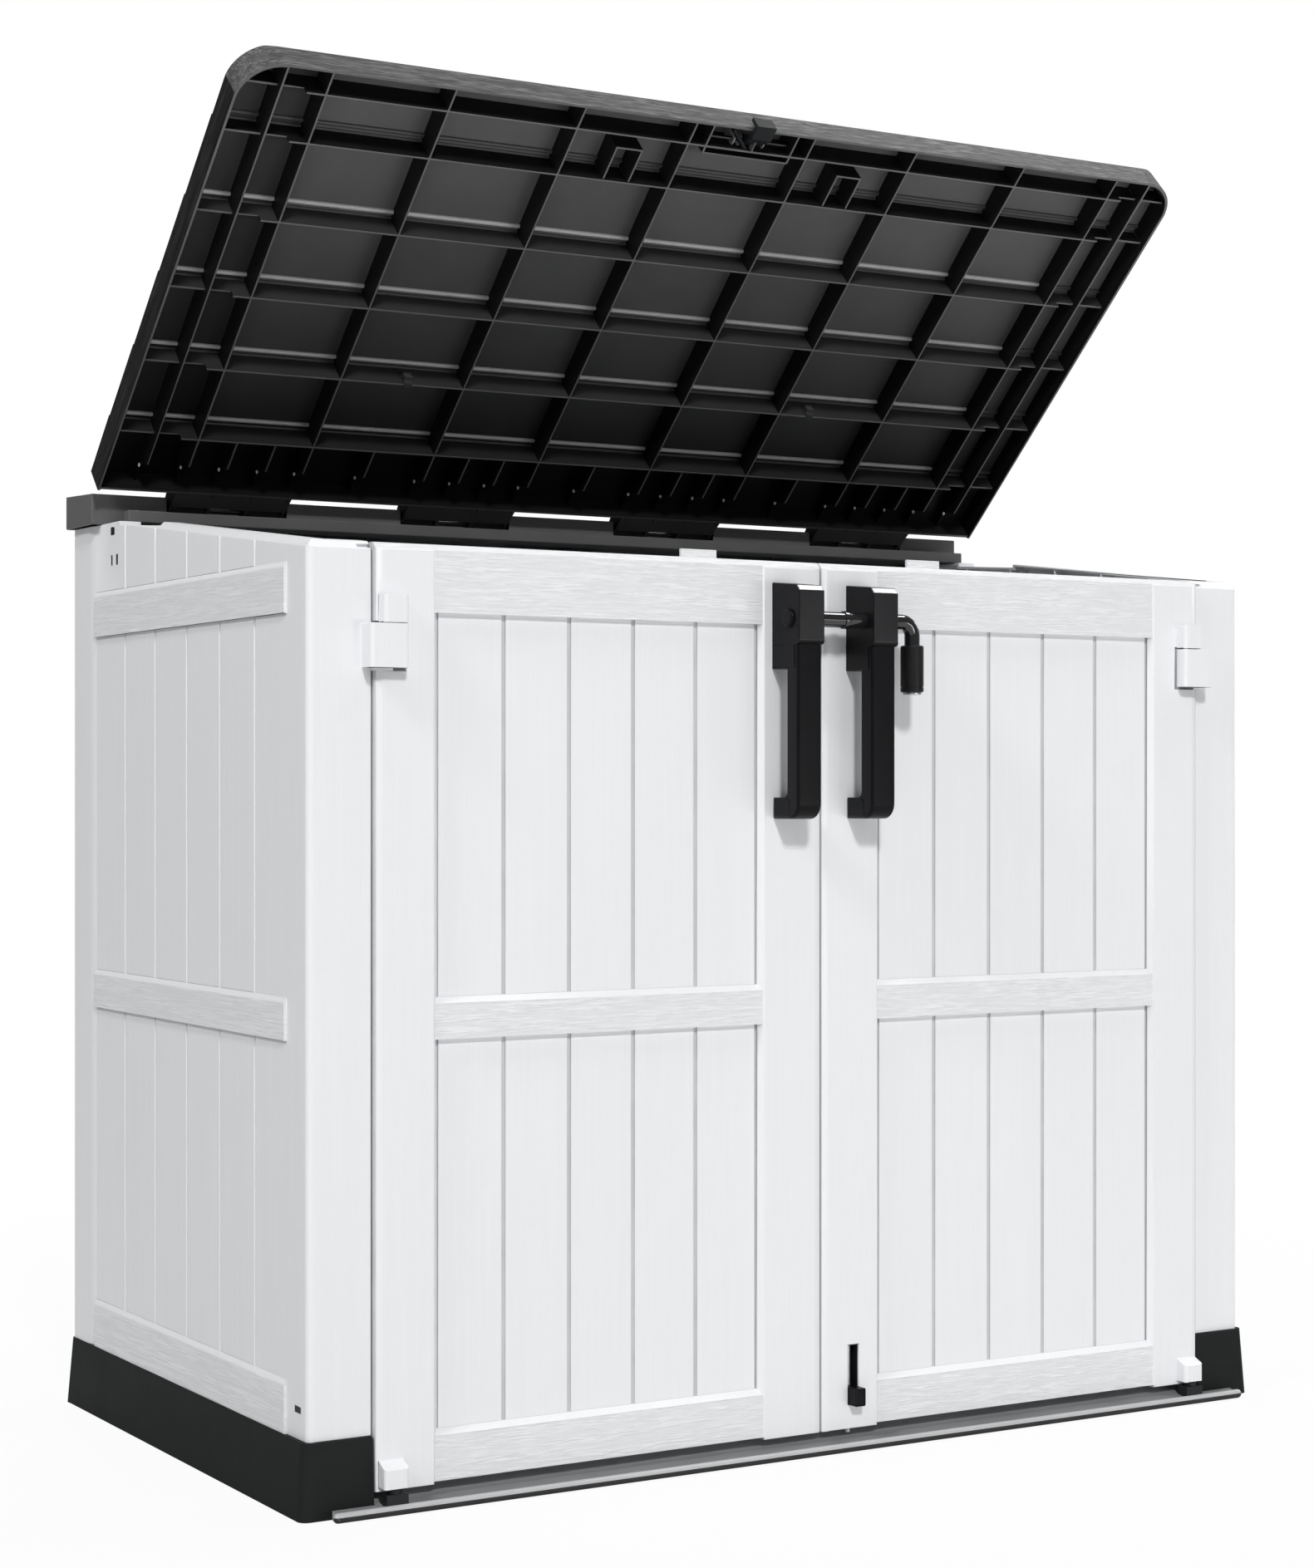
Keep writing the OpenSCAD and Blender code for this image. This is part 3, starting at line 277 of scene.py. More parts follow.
@dataclass(frozen=True)
class RisingResin(Finish):
    """Resin with painted shade that changes with height, as on the open lid and on the sill's ramp: darker lower
    down.
    """

    heights: tuple[float, float] = (1.25, 1.66)
    shades: tuple[float, float] = (0.15, 1.35)

    def dress(self, recipe: Recipe) -> None:
        """Adds the painted shade, which changes with height, to the usual skin.

        Args:
            recipe: The node tree to add to.
        """
        super().dress(recipe)
        blend = recipe.shader.inputs["Base Color"].links[0].from_socket
        place = recipe.node("ShaderNodeTexCoord").outputs["Object"]
        parts = recipe.node("ShaderNodeSeparateXYZ", {"Vector": place})
        shade = recipe.steps(parts.outputs["Z"], *self.heights, *self.shades)
        lit = recipe.node("ShaderNodeVectorMath", {0: blend, "Scale": shade}, operation="SCALE")
        recipe.feed(lit.outputs["Vector"], "Base Color")


WHITE = (0.775, 0.785, 0.80)
BOARD_WHITE = GrainedResin("white_resin_upright_grain", WHITE, 0.50, along=Grain.UPRIGHT, depth=0.00005,
                           contrast=0.007)
RAIL_WHITE = GrainedResin("white_resin_level_grain", WHITE, 0.50, along=Grain.ACROSS, depth=0.00045,
                          contrast=0.050)
SIDE_RAIL_WHITE = GrainedResin("white_resin_side_grain", WHITE, 0.50, along=Grain.DEEP, depth=0.00040,
                               contrast=0.045)
# Painted shade: near-black paint on the door corners beside the posts and under the hinge knuckles.
SEAM_SHADE = Finish("white_resin_painted_seam_shade", (0.045, 0.046, 0.048), 0.6, specular=0.1, mottle=0.05)
# Painted shadow: dark paint on the undersides of the rails.
RAIL_SHADE = Finish("white_resin_painted_rail_shadow", (0.11, 0.112, 0.115), 0.6, specular=0.15, mottle=0.05)
# Painted shade: grey paint in the grooves between boards, and on the left door's edge beside the post.
GROOVE_SHADE = Finish("white_resin_painted_groove_shade", (0.56, 0.57, 0.58), 0.6, specular=0.2, mottle=0.05)
CHARCOAL = Finish("charcoal_resin_base", (0.0140, 0.0160, 0.0158), 0.60, specular=0.08, mottle=0.12,
                  skin_size=0.0012, skin_depth=0.00005)
LID_TOP = GrainedResin("graphite_resin_boards", (0.134, 0.134, 0.136), 0.52, specular=0.4, along=Grain.ACROSS,
                       depth=0.0004, contrast=0.32, tilt=-LID_OPEN)
LID_SIDE = GrainedResin("graphite_resin_edges", (0.020, 0.020, 0.021), 0.52, specular=0.10, along=Grain.DEEP,
                        depth=0.0004, contrast=0.32, tilt=-LID_OPEN)
# Painted shade: the lid's underside is painted darker lower down the open lid, towards the hinge.
LID_UNDER = RisingResin("graphite_resin_underside", (0.082, 0.082, 0.083), 0.46, specular=0.12, mottle=0.05,
                        heights=(1.31, 1.66), shades=(0.06, 1.66))
# Painted shade: the outer cells on the left, darker than the rest of the underside and darker again lower down.
LID_SHADE = RisingResin("graphite_resin_outer_cells_painted_shade", (0.036, 0.036, 0.037), 0.46, specular=0.12, mottle=0.05,
                        heights=(1.31, 1.66), shades=(0.06, 1.66))
# Painted shade: the sides of the ribs that run front to back, near-black and darker lower down.
LID_RIB_SHADE = RisingResin("graphite_resin_rib_sides_painted_shade", (0.014, 0.014, 0.0145), 0.50, specular=0.10, mottle=0.06,
                       shades=(0.3, 1.0))
# Painted shade: the sides of the cross ribs, darker than the underside and darker again lower down.
LID_CROSS_SHADE = RisingResin("graphite_resin_cross_ribs_painted_shade", (0.034, 0.034, 0.0345), 0.48, specular=0.10, mottle=0.06,
                        heights=(1.24, 1.44), shades=(0.2, 1.0))
# Painted shade: the sides of the cross ribs in front of the last board seam, near-black.
LID_NOSE_SHADE = Finish("graphite_resin_front_ribs_painted_shade", (0.009, 0.009, 0.0093), 0.50, specular=0.08, mottle=0.06)
# Painted highlight: pale grey on the free edges of the ribs and on the latch's fin, dimmer lower down.
LID_TIP_HIGHLIGHT = RisingResin("graphite_resin_rib_tips", (0.16, 0.16, 0.162), 0.40, specular=0.2, mottle=0.06,
                       shades=(0.4, 1.0))
# Painted highlight: the wide beads, pale grey, dimmer lower down.
BEAD_HIGHLIGHT = RisingResin("graphite_resin_beads_painted_highlight", (0.62, 0.62, 0.622), 0.30, mottle=0.05, shades=(0.4, 1.0))
# Plain bead colour, with painted shade lower down; used on the beads that get no painted highlight.
SEAM_GREY = RisingResin("graphite_resin_seams", (0.075, 0.075, 0.077), 0.34, specular=0.3, mottle=0.05,
                        shades=(0.4, 1.0))
RAIL_GREY = Finish("graphite_resin_rail", (0.105, 0.105, 0.107), 0.42, specular=0.4, mottle=0.06)
# Painted shade: near-black paint on the rail's undersides and in the bays for the lid's arms.
RAIL_INSIDE_SHADE = Finish("graphite_resin_rail_painted_shade", (0.013, 0.013, 0.0135), 0.50, specular=0.15, mottle=0.06)
# Painted shade: the sill's ramp is painted darker towards its low front edge.
SILL_GREY = RisingResin("grey_resin_sill", (0.37, 0.375, 0.38), 0.42, mottle=0.05, heights=(0.0120, 0.0195),
                        shades=(0.55, 1.35))
# Painted shade: near-black paint on the front of the sill's bead and on the level strip where the bead meets the
# ramp.
SILL_SHADE = Finish("grey_resin_sill_painted_shade", (0.030, 0.030, 0.031), 0.50, specular=0.2, mottle=0.05)
# Painted highlight: the bead along the sill's front, painted lighter than the ramp.
SILL_BEAD_HIGHLIGHT = Finish("grey_resin_bead_painted_highlight", (0.43, 0.435, 0.44), 0.34, mottle=0.04)
# Painted highlight: pale stud ends on the lid's rear ribs, standing for glints.
STUD_GLINT = Finish("stud_ends_painted_glint", (0.74, 0.74, 0.74), 0.4, mottle=0.04)
PLUG_BLACK = Finish("black_plastic_fittings", (0.011, 0.012, 0.013), 0.48, specular=0.25, mottle=0.1)
# Painted highlight: light grey on the handle's top chamfer.
HANDLE_HIGHLIGHT = Finish("satin_black_painted_edge_highlight", (0.15, 0.15, 0.154), 0.26, specular=0.8, mottle=0.08)
# Painted light: the handles' front faces, painted lighter than their sides.
HANDLE_LIT_FACE = Finish("satin_black_front_faces_painted_light", (0.0165, 0.0165, 0.0180), 0.34, specular=0.25, mottle=0.08)
SATIN_BLACK = Finish("satin_black_handles", (0.0045, 0.0045, 0.0055), 0.34, specular=0.11, mottle=0.08,
                     mottle_size=0.03, skin_size=0.0006, skin_depth=0.00002)
LOCK_GLOSS = Finish("black_polished_lock_steel", (0.012, 0.012, 0.013), 0.14, coat=0.6, specular=0.5,
                    mottle=0.05, skin_depth=0.000004)
LOCK_BLACK = Finish("black_lock_sleeve", (0.010, 0.010, 0.011), 0.40, specular=0.2, mottle=0.06,
                    mottle_size=0.02)
BLACK_STEEL = Finish("blackened_steel_pins", (0.05, 0.05, 0.052), 0.35, metallic=1.0, mottle=0.10,
                     mottle_size=0.008, skin_depth=0.00001)
BRACKET_ZINC = Finish("zinc_latch_bracket", (0.42, 0.43, 0.44), 0.45, metallic=0.4, mottle=0.10,
                      mottle_size=0.006, skin_depth=0.00001)
ZINC = Finish("zinc_plated_steel", (0.46, 0.47, 0.49), 0.34, metallic=1.0, mottle=0.10, mottle_size=0.008,
              skin_depth=0.000012)

OWN_FINISHES = {"lid_hinge_pins": BLACK_STEEL, "latch_pin": BLACK_STEEL}
NODE_FINISHES = {
    "white_resin": BOARD_WHITE, "charcoal_resin": CHARCOAL, "graphite_resin": LID_UNDER,
    "grey_resin": SILL_GREY, "black_plastic": PLUG_BLACK, "handle_black": SATIN_BLACK,
    "lock_metal": LOCK_GLOSS, "lock_black": LOCK_BLACK, "steel": ZINC,
}


class Workpiece:
    """One mesh on the bench, shaped with the modelling operators and then set on a body."""

    MERGE_WITHIN = 0.00001
    FLAT_WITHIN = math.radians(0.3)
    SHARP_FROM = math.radians(28)

    def __init__(self, thing: bpy.types.Object) -> None:
        """Takes hold of an object.

        Args:
            thing: The mesh object to work on.
        """
        self.thing = thing

    @staticmethod
    def _fresh(name: str) -> "Workpiece":
        """Takes up the object that an operator has just added, and puts its place into its mesh.

        Args:
            name: Name for the object and its mesh.

        Returns:
            The new workpiece.
        """
        thing = bpy.context.object
        thing.name = name
        thing.data.name = name
        bpy.ops.object.transform_apply(location=True, rotation=True, scale=True)
        return Workpiece(thing)

    def _hold(self) -> None:
        """Selects this object alone and makes it the active one."""
        bpy.ops.object.select_all(action="DESELECT")
        self.thing.select_set(True)
        bpy.context.view_layer.objects.active = self.thing

    @staticmethod
    def _round(width: float, segments: int) -> None:
        """Rounds the selected edges."""
        bpy.ops.mesh.bevel(offset=width, segments=segments, profile=0.5, affect="EDGES", clamp_overlap=False)

    @classmethod
    def block(cls, name: str, low: Point, high: Point) -> "Workpiece":
        """A box between two corners, given in either order.

        Args:
            name: Name of the piece.
            low: One corner.
            high: The opposite corner.

        Returns:
            The new workpiece.
        """
        a, b = Vector(low), Vector(high)
        size = Vector((abs(d) for d in b - a))
        bpy.ops.object.select_all(action="DESELECT")
        bpy.ops.mesh.primitive_cube_add(size=1.0, location=(a + b) / 2, scale=size)
        return cls._fresh(name)

    @classmethod
    def rod(cls, name: str, start: Point, end: Point, radius: float, sides: int = 32) -> "Workpiece":
        """A round bar between two points.

        Args:
            name: Name of the piece.
            start: Middle of one end.
            end: Middle of the other end.
            radius: Radius of the bar.
            sides: Number of sides.

        Returns:
            The new workpiece.
        """
        a, b = Vector(start), Vector(end)
        turn = (b - a).to_track_quat("Z", "Y").to_euler()
        bpy.ops.object.select_all(action="DESELECT")
        bpy.ops.mesh.primitive_cylinder_add(vertices=sides, radius=radius, depth=(b - a).length,
                                            location=(a + b) / 2, rotation=turn)
        return cls._fresh(name)

    @classmethod
    def from_node(cls, node: str, name: str) -> "Workpiece":
        """A merged copy of a model node, with its flat faces in one piece.

        Args:
            node: Name of the model's node.
            name: Name of the new piece.

        Returns:
            The new workpiece.
        """
        source = frame["nodes"][node]
        thing = bpy.data.objects.new(name, source.data.copy())
        bpy.context.scene.collection.objects.link(thing)
        thing.data.materials.clear()
        piece = cls(thing)
        with piece.editing("VERT"):
            bpy.ops.mesh.select_all(action="SELECT")
            bpy.ops.mesh.customdata_custom_splitnormals_clear()
            bpy.ops.mesh.remove_doubles(threshold=cls.MERGE_WITHIN)
            bpy.ops.mesh.dissolve_limited(angle_limit=cls.FLAT_WITHIN)
        return piece

    @contextmanager
    def editing(self, kind: str = "FACE") -> Iterator[bmesh.types.BMesh]:
        """Edit mode on this piece with nothing selected.

        Args:
            kind: What is selected: VERT, EDGE or FACE.

        Yields:
            The mesh in edit mode.
        """
        self._hold()
        bpy.ops.object.mode_set(mode="EDIT")
        bpy.ops.mesh.select_mode(type=kind)
        bpy.ops.mesh.select_all(action="DESELECT")
        yield bmesh.from_edit_mesh(self.thing.data)
        bpy.ops.object.mode_set(mode="OBJECT")

    def pick_faces(self, mesh: bmesh.types.BMesh, test: FaceTest) -> None:
        """Selects faces.

        Args:
            mesh: The mesh in edit mode.
            test: Test of a face's centre and normal.
        """
        for face in mesh.faces:
            if test(face.calc_center_median(), face.normal):
                face.select_set(True)
        bmesh.update_edit_mesh(self.thing.data)

    def pick_edges(self, mesh: bmesh.types.BMesh, test: EdgeTest) -> None:
        """Selects edges.

        Args:
            mesh: The mesh in edit mode.
            test: Test of an edge's middle and direction.
        """
        for edge in mesh.edges:
            a, b = (v.co for v in edge.verts)
            if test((a + b) / 2, (b - a).normalized()):
                edge.select_set(True)
        bmesh.update_edit_mesh(self.thing.data)

    def extrude(self, test: FaceTest, by: Point) -> "Workpiece":
        """Draws faces out of the piece.

        Args:
            test: Test of a face's centre and normal.
            by: Vector by which they are drawn out.

        Returns:
            This workpiece.
        """
        with self.editing("FACE") as mesh:
            self.pick_faces(mesh, test)
            bpy.ops.mesh.extrude_region_move(TRANSFORM_OT_translate={"value": Vector(by)})
        return self

    def inset(self, test: FaceTest, width: float, depth: float) -> "Workpiece":
        """Sets inner faces into faces.

        Args:
            test: Test of a face's centre and normal.
            width: Width of the border that stays round an inner face.
            depth: Height of the inner face, negative if it is sunk.

        Returns:
            This workpiece.
        """
        with self.editing("FACE") as mesh:
            self.pick_faces(mesh, test)
            bpy.ops.mesh.inset(thickness=width, depth=depth)
        return self

    def shift(self, test: FaceTest, by: Point) -> "Workpiece":
        """Moves faces.

        Args:
            test: Test of a face's centre and normal.
            by: Vector by which they move.

        Returns:
            This workpiece.
        """
        with self.editing("FACE") as mesh:
            self.pick_faces(mesh, test)
            bpy.ops.transform.translate(value=Vector(by))
        return self

    def lower(self, test: EdgeTest, by: float) -> "Workpiece":
        """Moves edges down.

        Args:
            test: Test of an edge's middle and direction.
            by: Distance that they move.

        Returns:
            This workpiece.
        """
        with self.editing("EDGE") as mesh:
            self.pick_edges(mesh, test)
            bpy.ops.transform.translate(value=(0, 0, -by))
        return self

    def slice(self, point: Point, normal: Point) -> "Workpiece":
        """Cuts new edges where a plane meets the piece.

        Args:
            point: A point of the plane.
            normal: The plane's normal.

        Returns:
            This workpiece.
        """
        with self.editing("FACE"):
            bpy.ops.mesh.select_all(action="SELECT")
            bpy.ops.mesh.bisect(plane_co=point, plane_no=normal)
        return self

    def bevel(self, test: EdgeTest, width: float, segments: int = 3) -> "Workpiece":
        """Rounds edges.

        Args:
            test: Test of an edge's middle and direction.
            width: Width of the rounding.
            segments: Faces across the rounding.

        Returns:
            This workpiece.
        """
        with self.editing("EDGE") as mesh:
            self.pick_edges(mesh, test)
            self._round(width, segments)
        return self

    def soften(self, width: float, segments: int = 2, shortest: float = 0.01,
               where: Callable[[Vector], bool] | None = None) -> "Workpiece":
        """Rounds every sharp edge that is long enough.

        Args:
            width: Width of the rounding.
            segments: Faces across the rounding.
            shortest: Shortest edge that is rounded.
            where: Test of an edge's middle, if only some are rounded.

        Returns:
            This workpiece.
        """
        with self.editing("EDGE") as mesh:
            for edge in mesh.edges:
                middle = (edge.verts[0].co + edge.verts[1].co) / 2
                sharp = edge.is_manifold and edge.calc_face_angle(0.0) > self.SHARP_FROM
                if sharp and edge.calc_length() >= shortest and (where is None or where(middle)):
                    edge.select_set(True)
            bmesh.update_edit_mesh(self.thing.data)
            self._round(width, segments)
        return self

    def modify(self, kind: str, **settings: object) -> "Workpiece":
        """Adds a modifier and applies it.

        Args:
            kind: Blender's name of the modifier type.
            settings: Properties of the modifier.

        Returns:
            This workpiece.
        """
        self._hold()
        modifier = self.thing.modifiers.new(kind.lower(), kind)
        for name, value in settings.items():
            setattr(modifier, name, value)
        bpy.ops.object.modifier_apply(modifier=modifier.name)
        return self

    def cut(self, tool: "Workpiece") -> "Workpiece":
        """Takes another workpiece out of this one, and removes it.

        Args:
            tool: The workpiece to take out.

        Returns:
            This workpiece.
        """
        self.modify("BOOLEAN", object=tool.thing, operation="DIFFERENCE", solver="EXACT")
        bpy.data.objects.remove(tool.thing)
        return self

    def join(self, others: Sequence["Workpiece"]) -> "Workpiece":
        """Takes other workpieces into this one's mesh.

        Args:
            others: The workpieces to take in.

        Returns:
            This workpiece.
        """
        self._hold()
        for other in others:
            other.thing.select_set(True)
        bpy.ops.object.join()
        return self

    def copy(self, name: str, move: Matrix) -> "Workpiece":
        """Copies the piece with its mesh.

        Args:
            name: Name of the copy.
            move: Matrix that places the copy's mesh.

        Returns:
            The copy.
        """
        thing = self.thing.copy()
        thing.data = self.thing.data.copy()
        thing.name = name
        bpy.context.scene.collection.objects.link(thing)
        thing.data.transform(move)
        return Workpiece(thing)

    def place(self, move: Matrix) -> "Workpiece":
        """Moves the mesh by a matrix; the object stays at the origin."""
        self.thing.data.transform(move)
        return self

    def paint(self, finish: Finish, test: FaceTest | None = None) -> "Workpiece":
        """Gives faces a finish.

        Args:
            finish: The finish.
            test: Test of a face's centre and normal, if not all faces take it.

        Returns:
            This workpiece.
        """
        materials = self.thing.data.materials
        material = finish.material()
        if material.name not in materials:
            materials.append(material)
        index = materials.find(material.name)
        for face in self.thing.data.polygons:
            if test is None or test(face.center, face.normal):
                face.material_index = index
        return self

    def smooth(self, angle: float = 40.0, weigh: bool = True) -> "Workpiece":
        """Shades the piece smooth.

        Args:
            angle: Largest angle between faces that is shaded over, in degrees.
            weigh: Whether large faces are kept looking flat.

        Returns:
            This workpiece.
        """
        self._hold()
        bpy.ops.object.shade_smooth_by_angle(angle=math.radians(angle))
        if weigh:
            self.modify("WEIGHTED_NORMAL", keep_sharp=True, weight=80)
        return self

    def set_on(self, body: str, slot: str, *nodes: str) -> str:
        """Sets the finished piece on its body.

        Args:
            body: Body that it rides on.
            slot: The record's material slot; not used.
            nodes: Model nodes that it stands for.

        Returns:
            The piece's name.
        """
        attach(self.thing, body)
        if nodes:
            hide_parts(*nodes)
        log.info("%s: %d faces on %s", self.thing.name, len(self.thing.data.polygons), body)
        return self.thing.name


@dataclass
class BaseTray:
    """Dark base with its skirt, corner blocks and floor, and the sill in front of the doors."""

    edge: float = 0.0022
    floor_top: float = 0.058
    foot_height: float = 0.002
    foot_from: float = 0.7
    bead_depth: float = 0.0115
    dark_foot: float = 0.006
    dark_foot_lean: float = 0.2
    dark_line: tuple[float, float] = (0.0105, 0.0122)
    level: float = 0.99

    def is_rounded(self, middle: Vector) -> bool:
        """Whether an edge is rounded: over the floor, and at the feet of the ends."""
        return middle.z > self.floor_top or middle.z < self.foot_height and abs(middle.x) > self.foot_from

    def build(self) -> None:
        """Builds the tray and the sill."""
        tray = Workpiece.from_node("base_floor", "base_tray")
        tray.soften(self.edge, 3, shortest=0.02, where=self.is_rounded)
        tray.paint(CHARCOAL).smooth().set_on("cabinet", "charcoal_resin", "base_floor")
        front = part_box("front_sill")[0].y
        sill = Workpiece.from_node("front_sill", "sill_strip")
        # Painted shade on the ramp, darker towards the front; painted highlight on the bead.
        sill.paint(SILL_GREY).paint(SILL_BEAD_HIGHLIGHT, lambda c, n: c.y < front + self.bead_depth)
        # Painted shade on the front of the bead, and on the level strip where the bead meets the ramp.
        sill.paint(SILL_SHADE, lambda c, n: c.y < front + self.dark_foot and n.z < self.dark_foot_lean)
        line = [front + depth for depth in self.dark_line]
        sill.paint(SILL_SHADE, lambda c, n: line[0] < c.y < line[1] and n.z > self.level)
        sill.smooth(50, False).set_on("cabinet", "grey_resin", "front_sill")


@dataclass
class SideWall:
    """Boarded side wall with its front post, rails and fixed hinge knuckle."""

    side: Side
    edge: float = 0.0011
    wall_face: float = 0.7105
    rail_front: float = -0.332
    rail_step: float = 0.004
    post_front: float = 0.305
    rail_foot: float = 0.7062
    knuckle_rear: float = -0.392
    knuckles_from: float = 0.5
    inner_face: float = 0.69
    front_post_rear: float = -0.358
    rim_from: float = 1.1

    def is_rounded(self, middle: Vector) -> bool:
        """Whether an edge is rounded: on the outside, on the front post and on the rim."""
        front = middle.y < self.front_post_rear
        return abs(middle.x) > self.inner_face or front or middle.z > self.rim_from

    def on_level(self, centre: Vector) -> bool:
        """Whether a face lies between the front post and the rear post."""
        return self.rail_front - self.rail_step < centre.y < self.post_front

    def on_rail(self, centre: Vector, normal: Vector) -> bool:
        """Whether a face lies on a rail between the posts, where the grain runs level."""
        return abs(centre.x) > self.wall_face and self.rail_front < centre.y < self.post_front

    def under_knuckle(self, centre: Vector, normal: Vector) -> bool:
        """Whether a face lies under the fixed knuckle."""
        return normal.z < -ALONG and centre.y < self.knuckle_rear and centre.z > self.knuckles_from

    def build(self) -> None:
        """Builds the wall."""
        node = f"{self.side.word}_side_panel"
        wall = Workpiece.from_node(node, f"{self.side.word}_side_wall")
        wall.soften(self.edge, 2, shortest=0.012, where=self.is_rounded)
        wall.paint(BOARD_WHITE).paint(SIDE_RAIL_WHITE, self.on_rail)
        # Painted shadow on the undersides of the side rails.
        wall.paint(RAIL_SHADE,
                   lambda c, n: n.z < -LEANING and abs(c.x) > self.rail_foot and self.on_level(c))
        # Painted shade under the fixed knuckle.
        wall.paint(SEAM_SHADE, self.under_knuckle)
        wall.smooth().set_on("cabinet", "white_resin", node)


@dataclass
class RearWall:
    """Boarded rear wall."""

    edge: float = 0.0011
    relief: float = 0.007
    rail_skin: float = 0.0006

    def build(self) -> None:
        """Builds the wall with level grain on its rails."""
        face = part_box("rear_panel")[1].y
        wall = Workpiece.from_node("rear_panel", "rear_wall")
        wall.soften(self.edge, 2, shortest=0.012, where=lambda p: p.y > face - self.relief)
        wall.paint(BOARD_WHITE).paint(RAIL_WHITE, lambda c, n: c.y > face - self.rail_skin)
        wall.smooth().set_on("cabinet", "white_resin", "rear_panel")


@dataclass
class Screws:
    """Pan-head screws with a cross recess, one set per node."""

    node: str
    body: str
    places: tuple[tuple[float, float, float], ...]
    inward: tuple[float, float, float]
    head_radius: float = 0.0045
    head_height: float = 0.0025
    head_round: float = 0.0014
    shank_radius: float = 0.0022
    shank_length: float = 0.0130
    recess: tuple[float, float] = (0.0025, 0.0006)
    recess_depth: float = 0.0012
    recess_tool_top: float = 0.01

    def build(self) -> None:
        """Builds one screw and copies it to every place; a place is the seat of the head."""
        shank = Workpiece.rod("shank", (0, 0, -self.shank_length), (0, 0, 0), self.shank_radius, sides=20)
        head = Workpiece.rod(f"{self.node}_set", (0, 0, 0), (0, 0, self.head_height), self.head_radius)
        head.bevel(lambda m, d: m.z > self.head_height - TOUCH, self.head_round, 3)
        for x, y in (self.recess, self.recess[::-1]):
            head.cut(Workpiece.block("recess", (-x, -y, self.head_height - self.recess_depth),
                                     (x, y, self.recess_tool_top)))
        head.join([shank])
        turn = Vector(self.inward).to_track_quat("Z", "Y").to_matrix().to_4x4()
        copies = [head.copy(f"{self.node}_{i}", Matrix.Translation(place) @ turn)
                  for i, place in enumerate(self.places[1:])]
        head.place(Matrix.Translation(self.places[0]) @ turn)
        head.join(copies).paint(ZINC).smooth(35, False)
        head.set_on(self.body, "steel", self.node)


@dataclass
class HingeRail:
    """Dark rail across the rear that carries the lid."""

    edge: float = 0.0018
    bay_centres: tuple[float, ...] = (-0.528, -0.176, 0.176, 0.528)
    bay_half: float = 0.0880
    bay_front: float = 0.2490
    screw_seat: tuple[float, float] = (0.373, 1.208018)

    def in_bay(self, centre: Vector) -> bool:
        """Whether a point lies in one of the bays that take the arms of the lid."""
        beside = any(abs(centre.x - bay) < self.bay_half for bay in self.bay_centres)
        return centre.y > self.bay_front and beside

    def build(self) -> None:
        """Builds the rail and its screws."""
        rail = Workpiece.from_node("hinge_rail", "lid_rail")
        rail.soften(self.edge, 3, shortest=0.014)
        # Painted shade on the rail's undersides and in its bays.
        rail.paint(RAIL_GREY).paint(RAIL_INSIDE_SHADE, lambda c, n: n.z < -ALONG or self.in_bay(c))
        rail.smooth().set_on("cabinet", "graphite_resin", "hinge_rail")
        seats = tuple((x, *self.screw_seat) for x in self.bay_centres)
        Screws("rail_screws", "cabinet", seats, (0, 0, 1)).build()


@dataclass
class Door:
    """Boarded door with its stiles, rails and knuckles."""

    side: Side
    edge: float = 0.0011
    rail_in: float = 0.0870
    rail_out: float = 0.5510
    rail_face: float = -0.3945
    board_face: float = -0.389
    relief_rear: float = -0.3855
    top_from: float = 1.12
    top_rail_from: float = 1.06
    groove_depths: tuple[float, float] = (0.0001, 0.0025)
    groove_leans: tuple[float, float] = (0.5, 0.3)
    seam_from: float = 0.6252
    edge_on: float = 0.97
    knuckle_in: float = 0.588
    knuckle_proud: float = 0.002
    knuckles_from: float = 0.5
    foot: float = 0.040

    def is_rounded(self, middle: Vector) -> bool:
        """Whether an edge is rounded: on the outside and on the top."""
        return middle.y < self.relief_rear or middle.z > self.top_from

    def at_seam(self, centre: Vector, normal: Vector) -> bool:
        """Whether a face lies on the rounded corner beside the post, or under the upper knuckle.

        Args:
            centre: The face's centre.
            normal: The face's normal.

        Returns:
            Whether it does.
        """
        corner = LEANING < abs(normal.x) < self.edge_on and abs(centre.x) > self.seam_from
        proud = centre.y < self.rail_face - self.knuckle_proud
        knuckle = abs(centre.x) > self.knuckle_in and proud and centre.z > self.knuckles_from
        return corner or (knuckle and normal.z < -ALONG)

    def on_rail(self, centre: Vector, normal: Vector) -> bool:
        """Whether a face lies on a rail, where the grain runs level."""
        proud = centre.y < self.rail_face or centre.z > self.top_rail_from
        return proud and self.rail_in < abs(centre.x) < self.rail_out

    def in_groove(self, centre: Vector, normal: Vector) -> bool:
        """Whether a face lies in a groove between two boards.

        Args:
            centre: The face's centre.
            normal: The face's normal.

        Returns:
            Whether it does.
        """
        shallow, deep = (self.board_face + depth for depth in self.groove_depths)
        bottom, side = self.groove_leans
        facing = normal.y < -bottom or abs(normal.x) > side
        return shallow < centre.y < deep and facing and abs(centre.x) < self.rail_out

    def build(self) -> None:
        """Builds the door."""
        node = f"{self.side.word}_door_panel"
        door = Workpiece.from_node(node, f"{self.side.word}_door")
        door.soften(self.edge, 2, shortest=0.012, where=self.is_rounded)
        # Painted shade in the grooves between boards.
        door.paint(BOARD_WHITE).paint(RAIL_WHITE, self.on_rail).paint(GROOVE_SHADE, self.in_groove)
        # Painted shadow on the undersides of the rails.
        door.paint(RAIL_SHADE, lambda c, n: n.z < -LEANING and c.y < self.board_face and c.z > self.foot)
        # Painted shade on the corners beside the posts and under the upper knuckle.
        door.paint(SEAM_SHADE, self.at_seam)
        # On the left door, a lighter painted shade on the edge beside the post.
        if self.side is Side.LEFT:
            door.paint(GROOVE_SHADE, lambda c, n: abs(n.x) > LEANING and c.x < -self.seam_from)
        door.smooth().set_on(f"{self.side.word}_door", "white_resin", node)


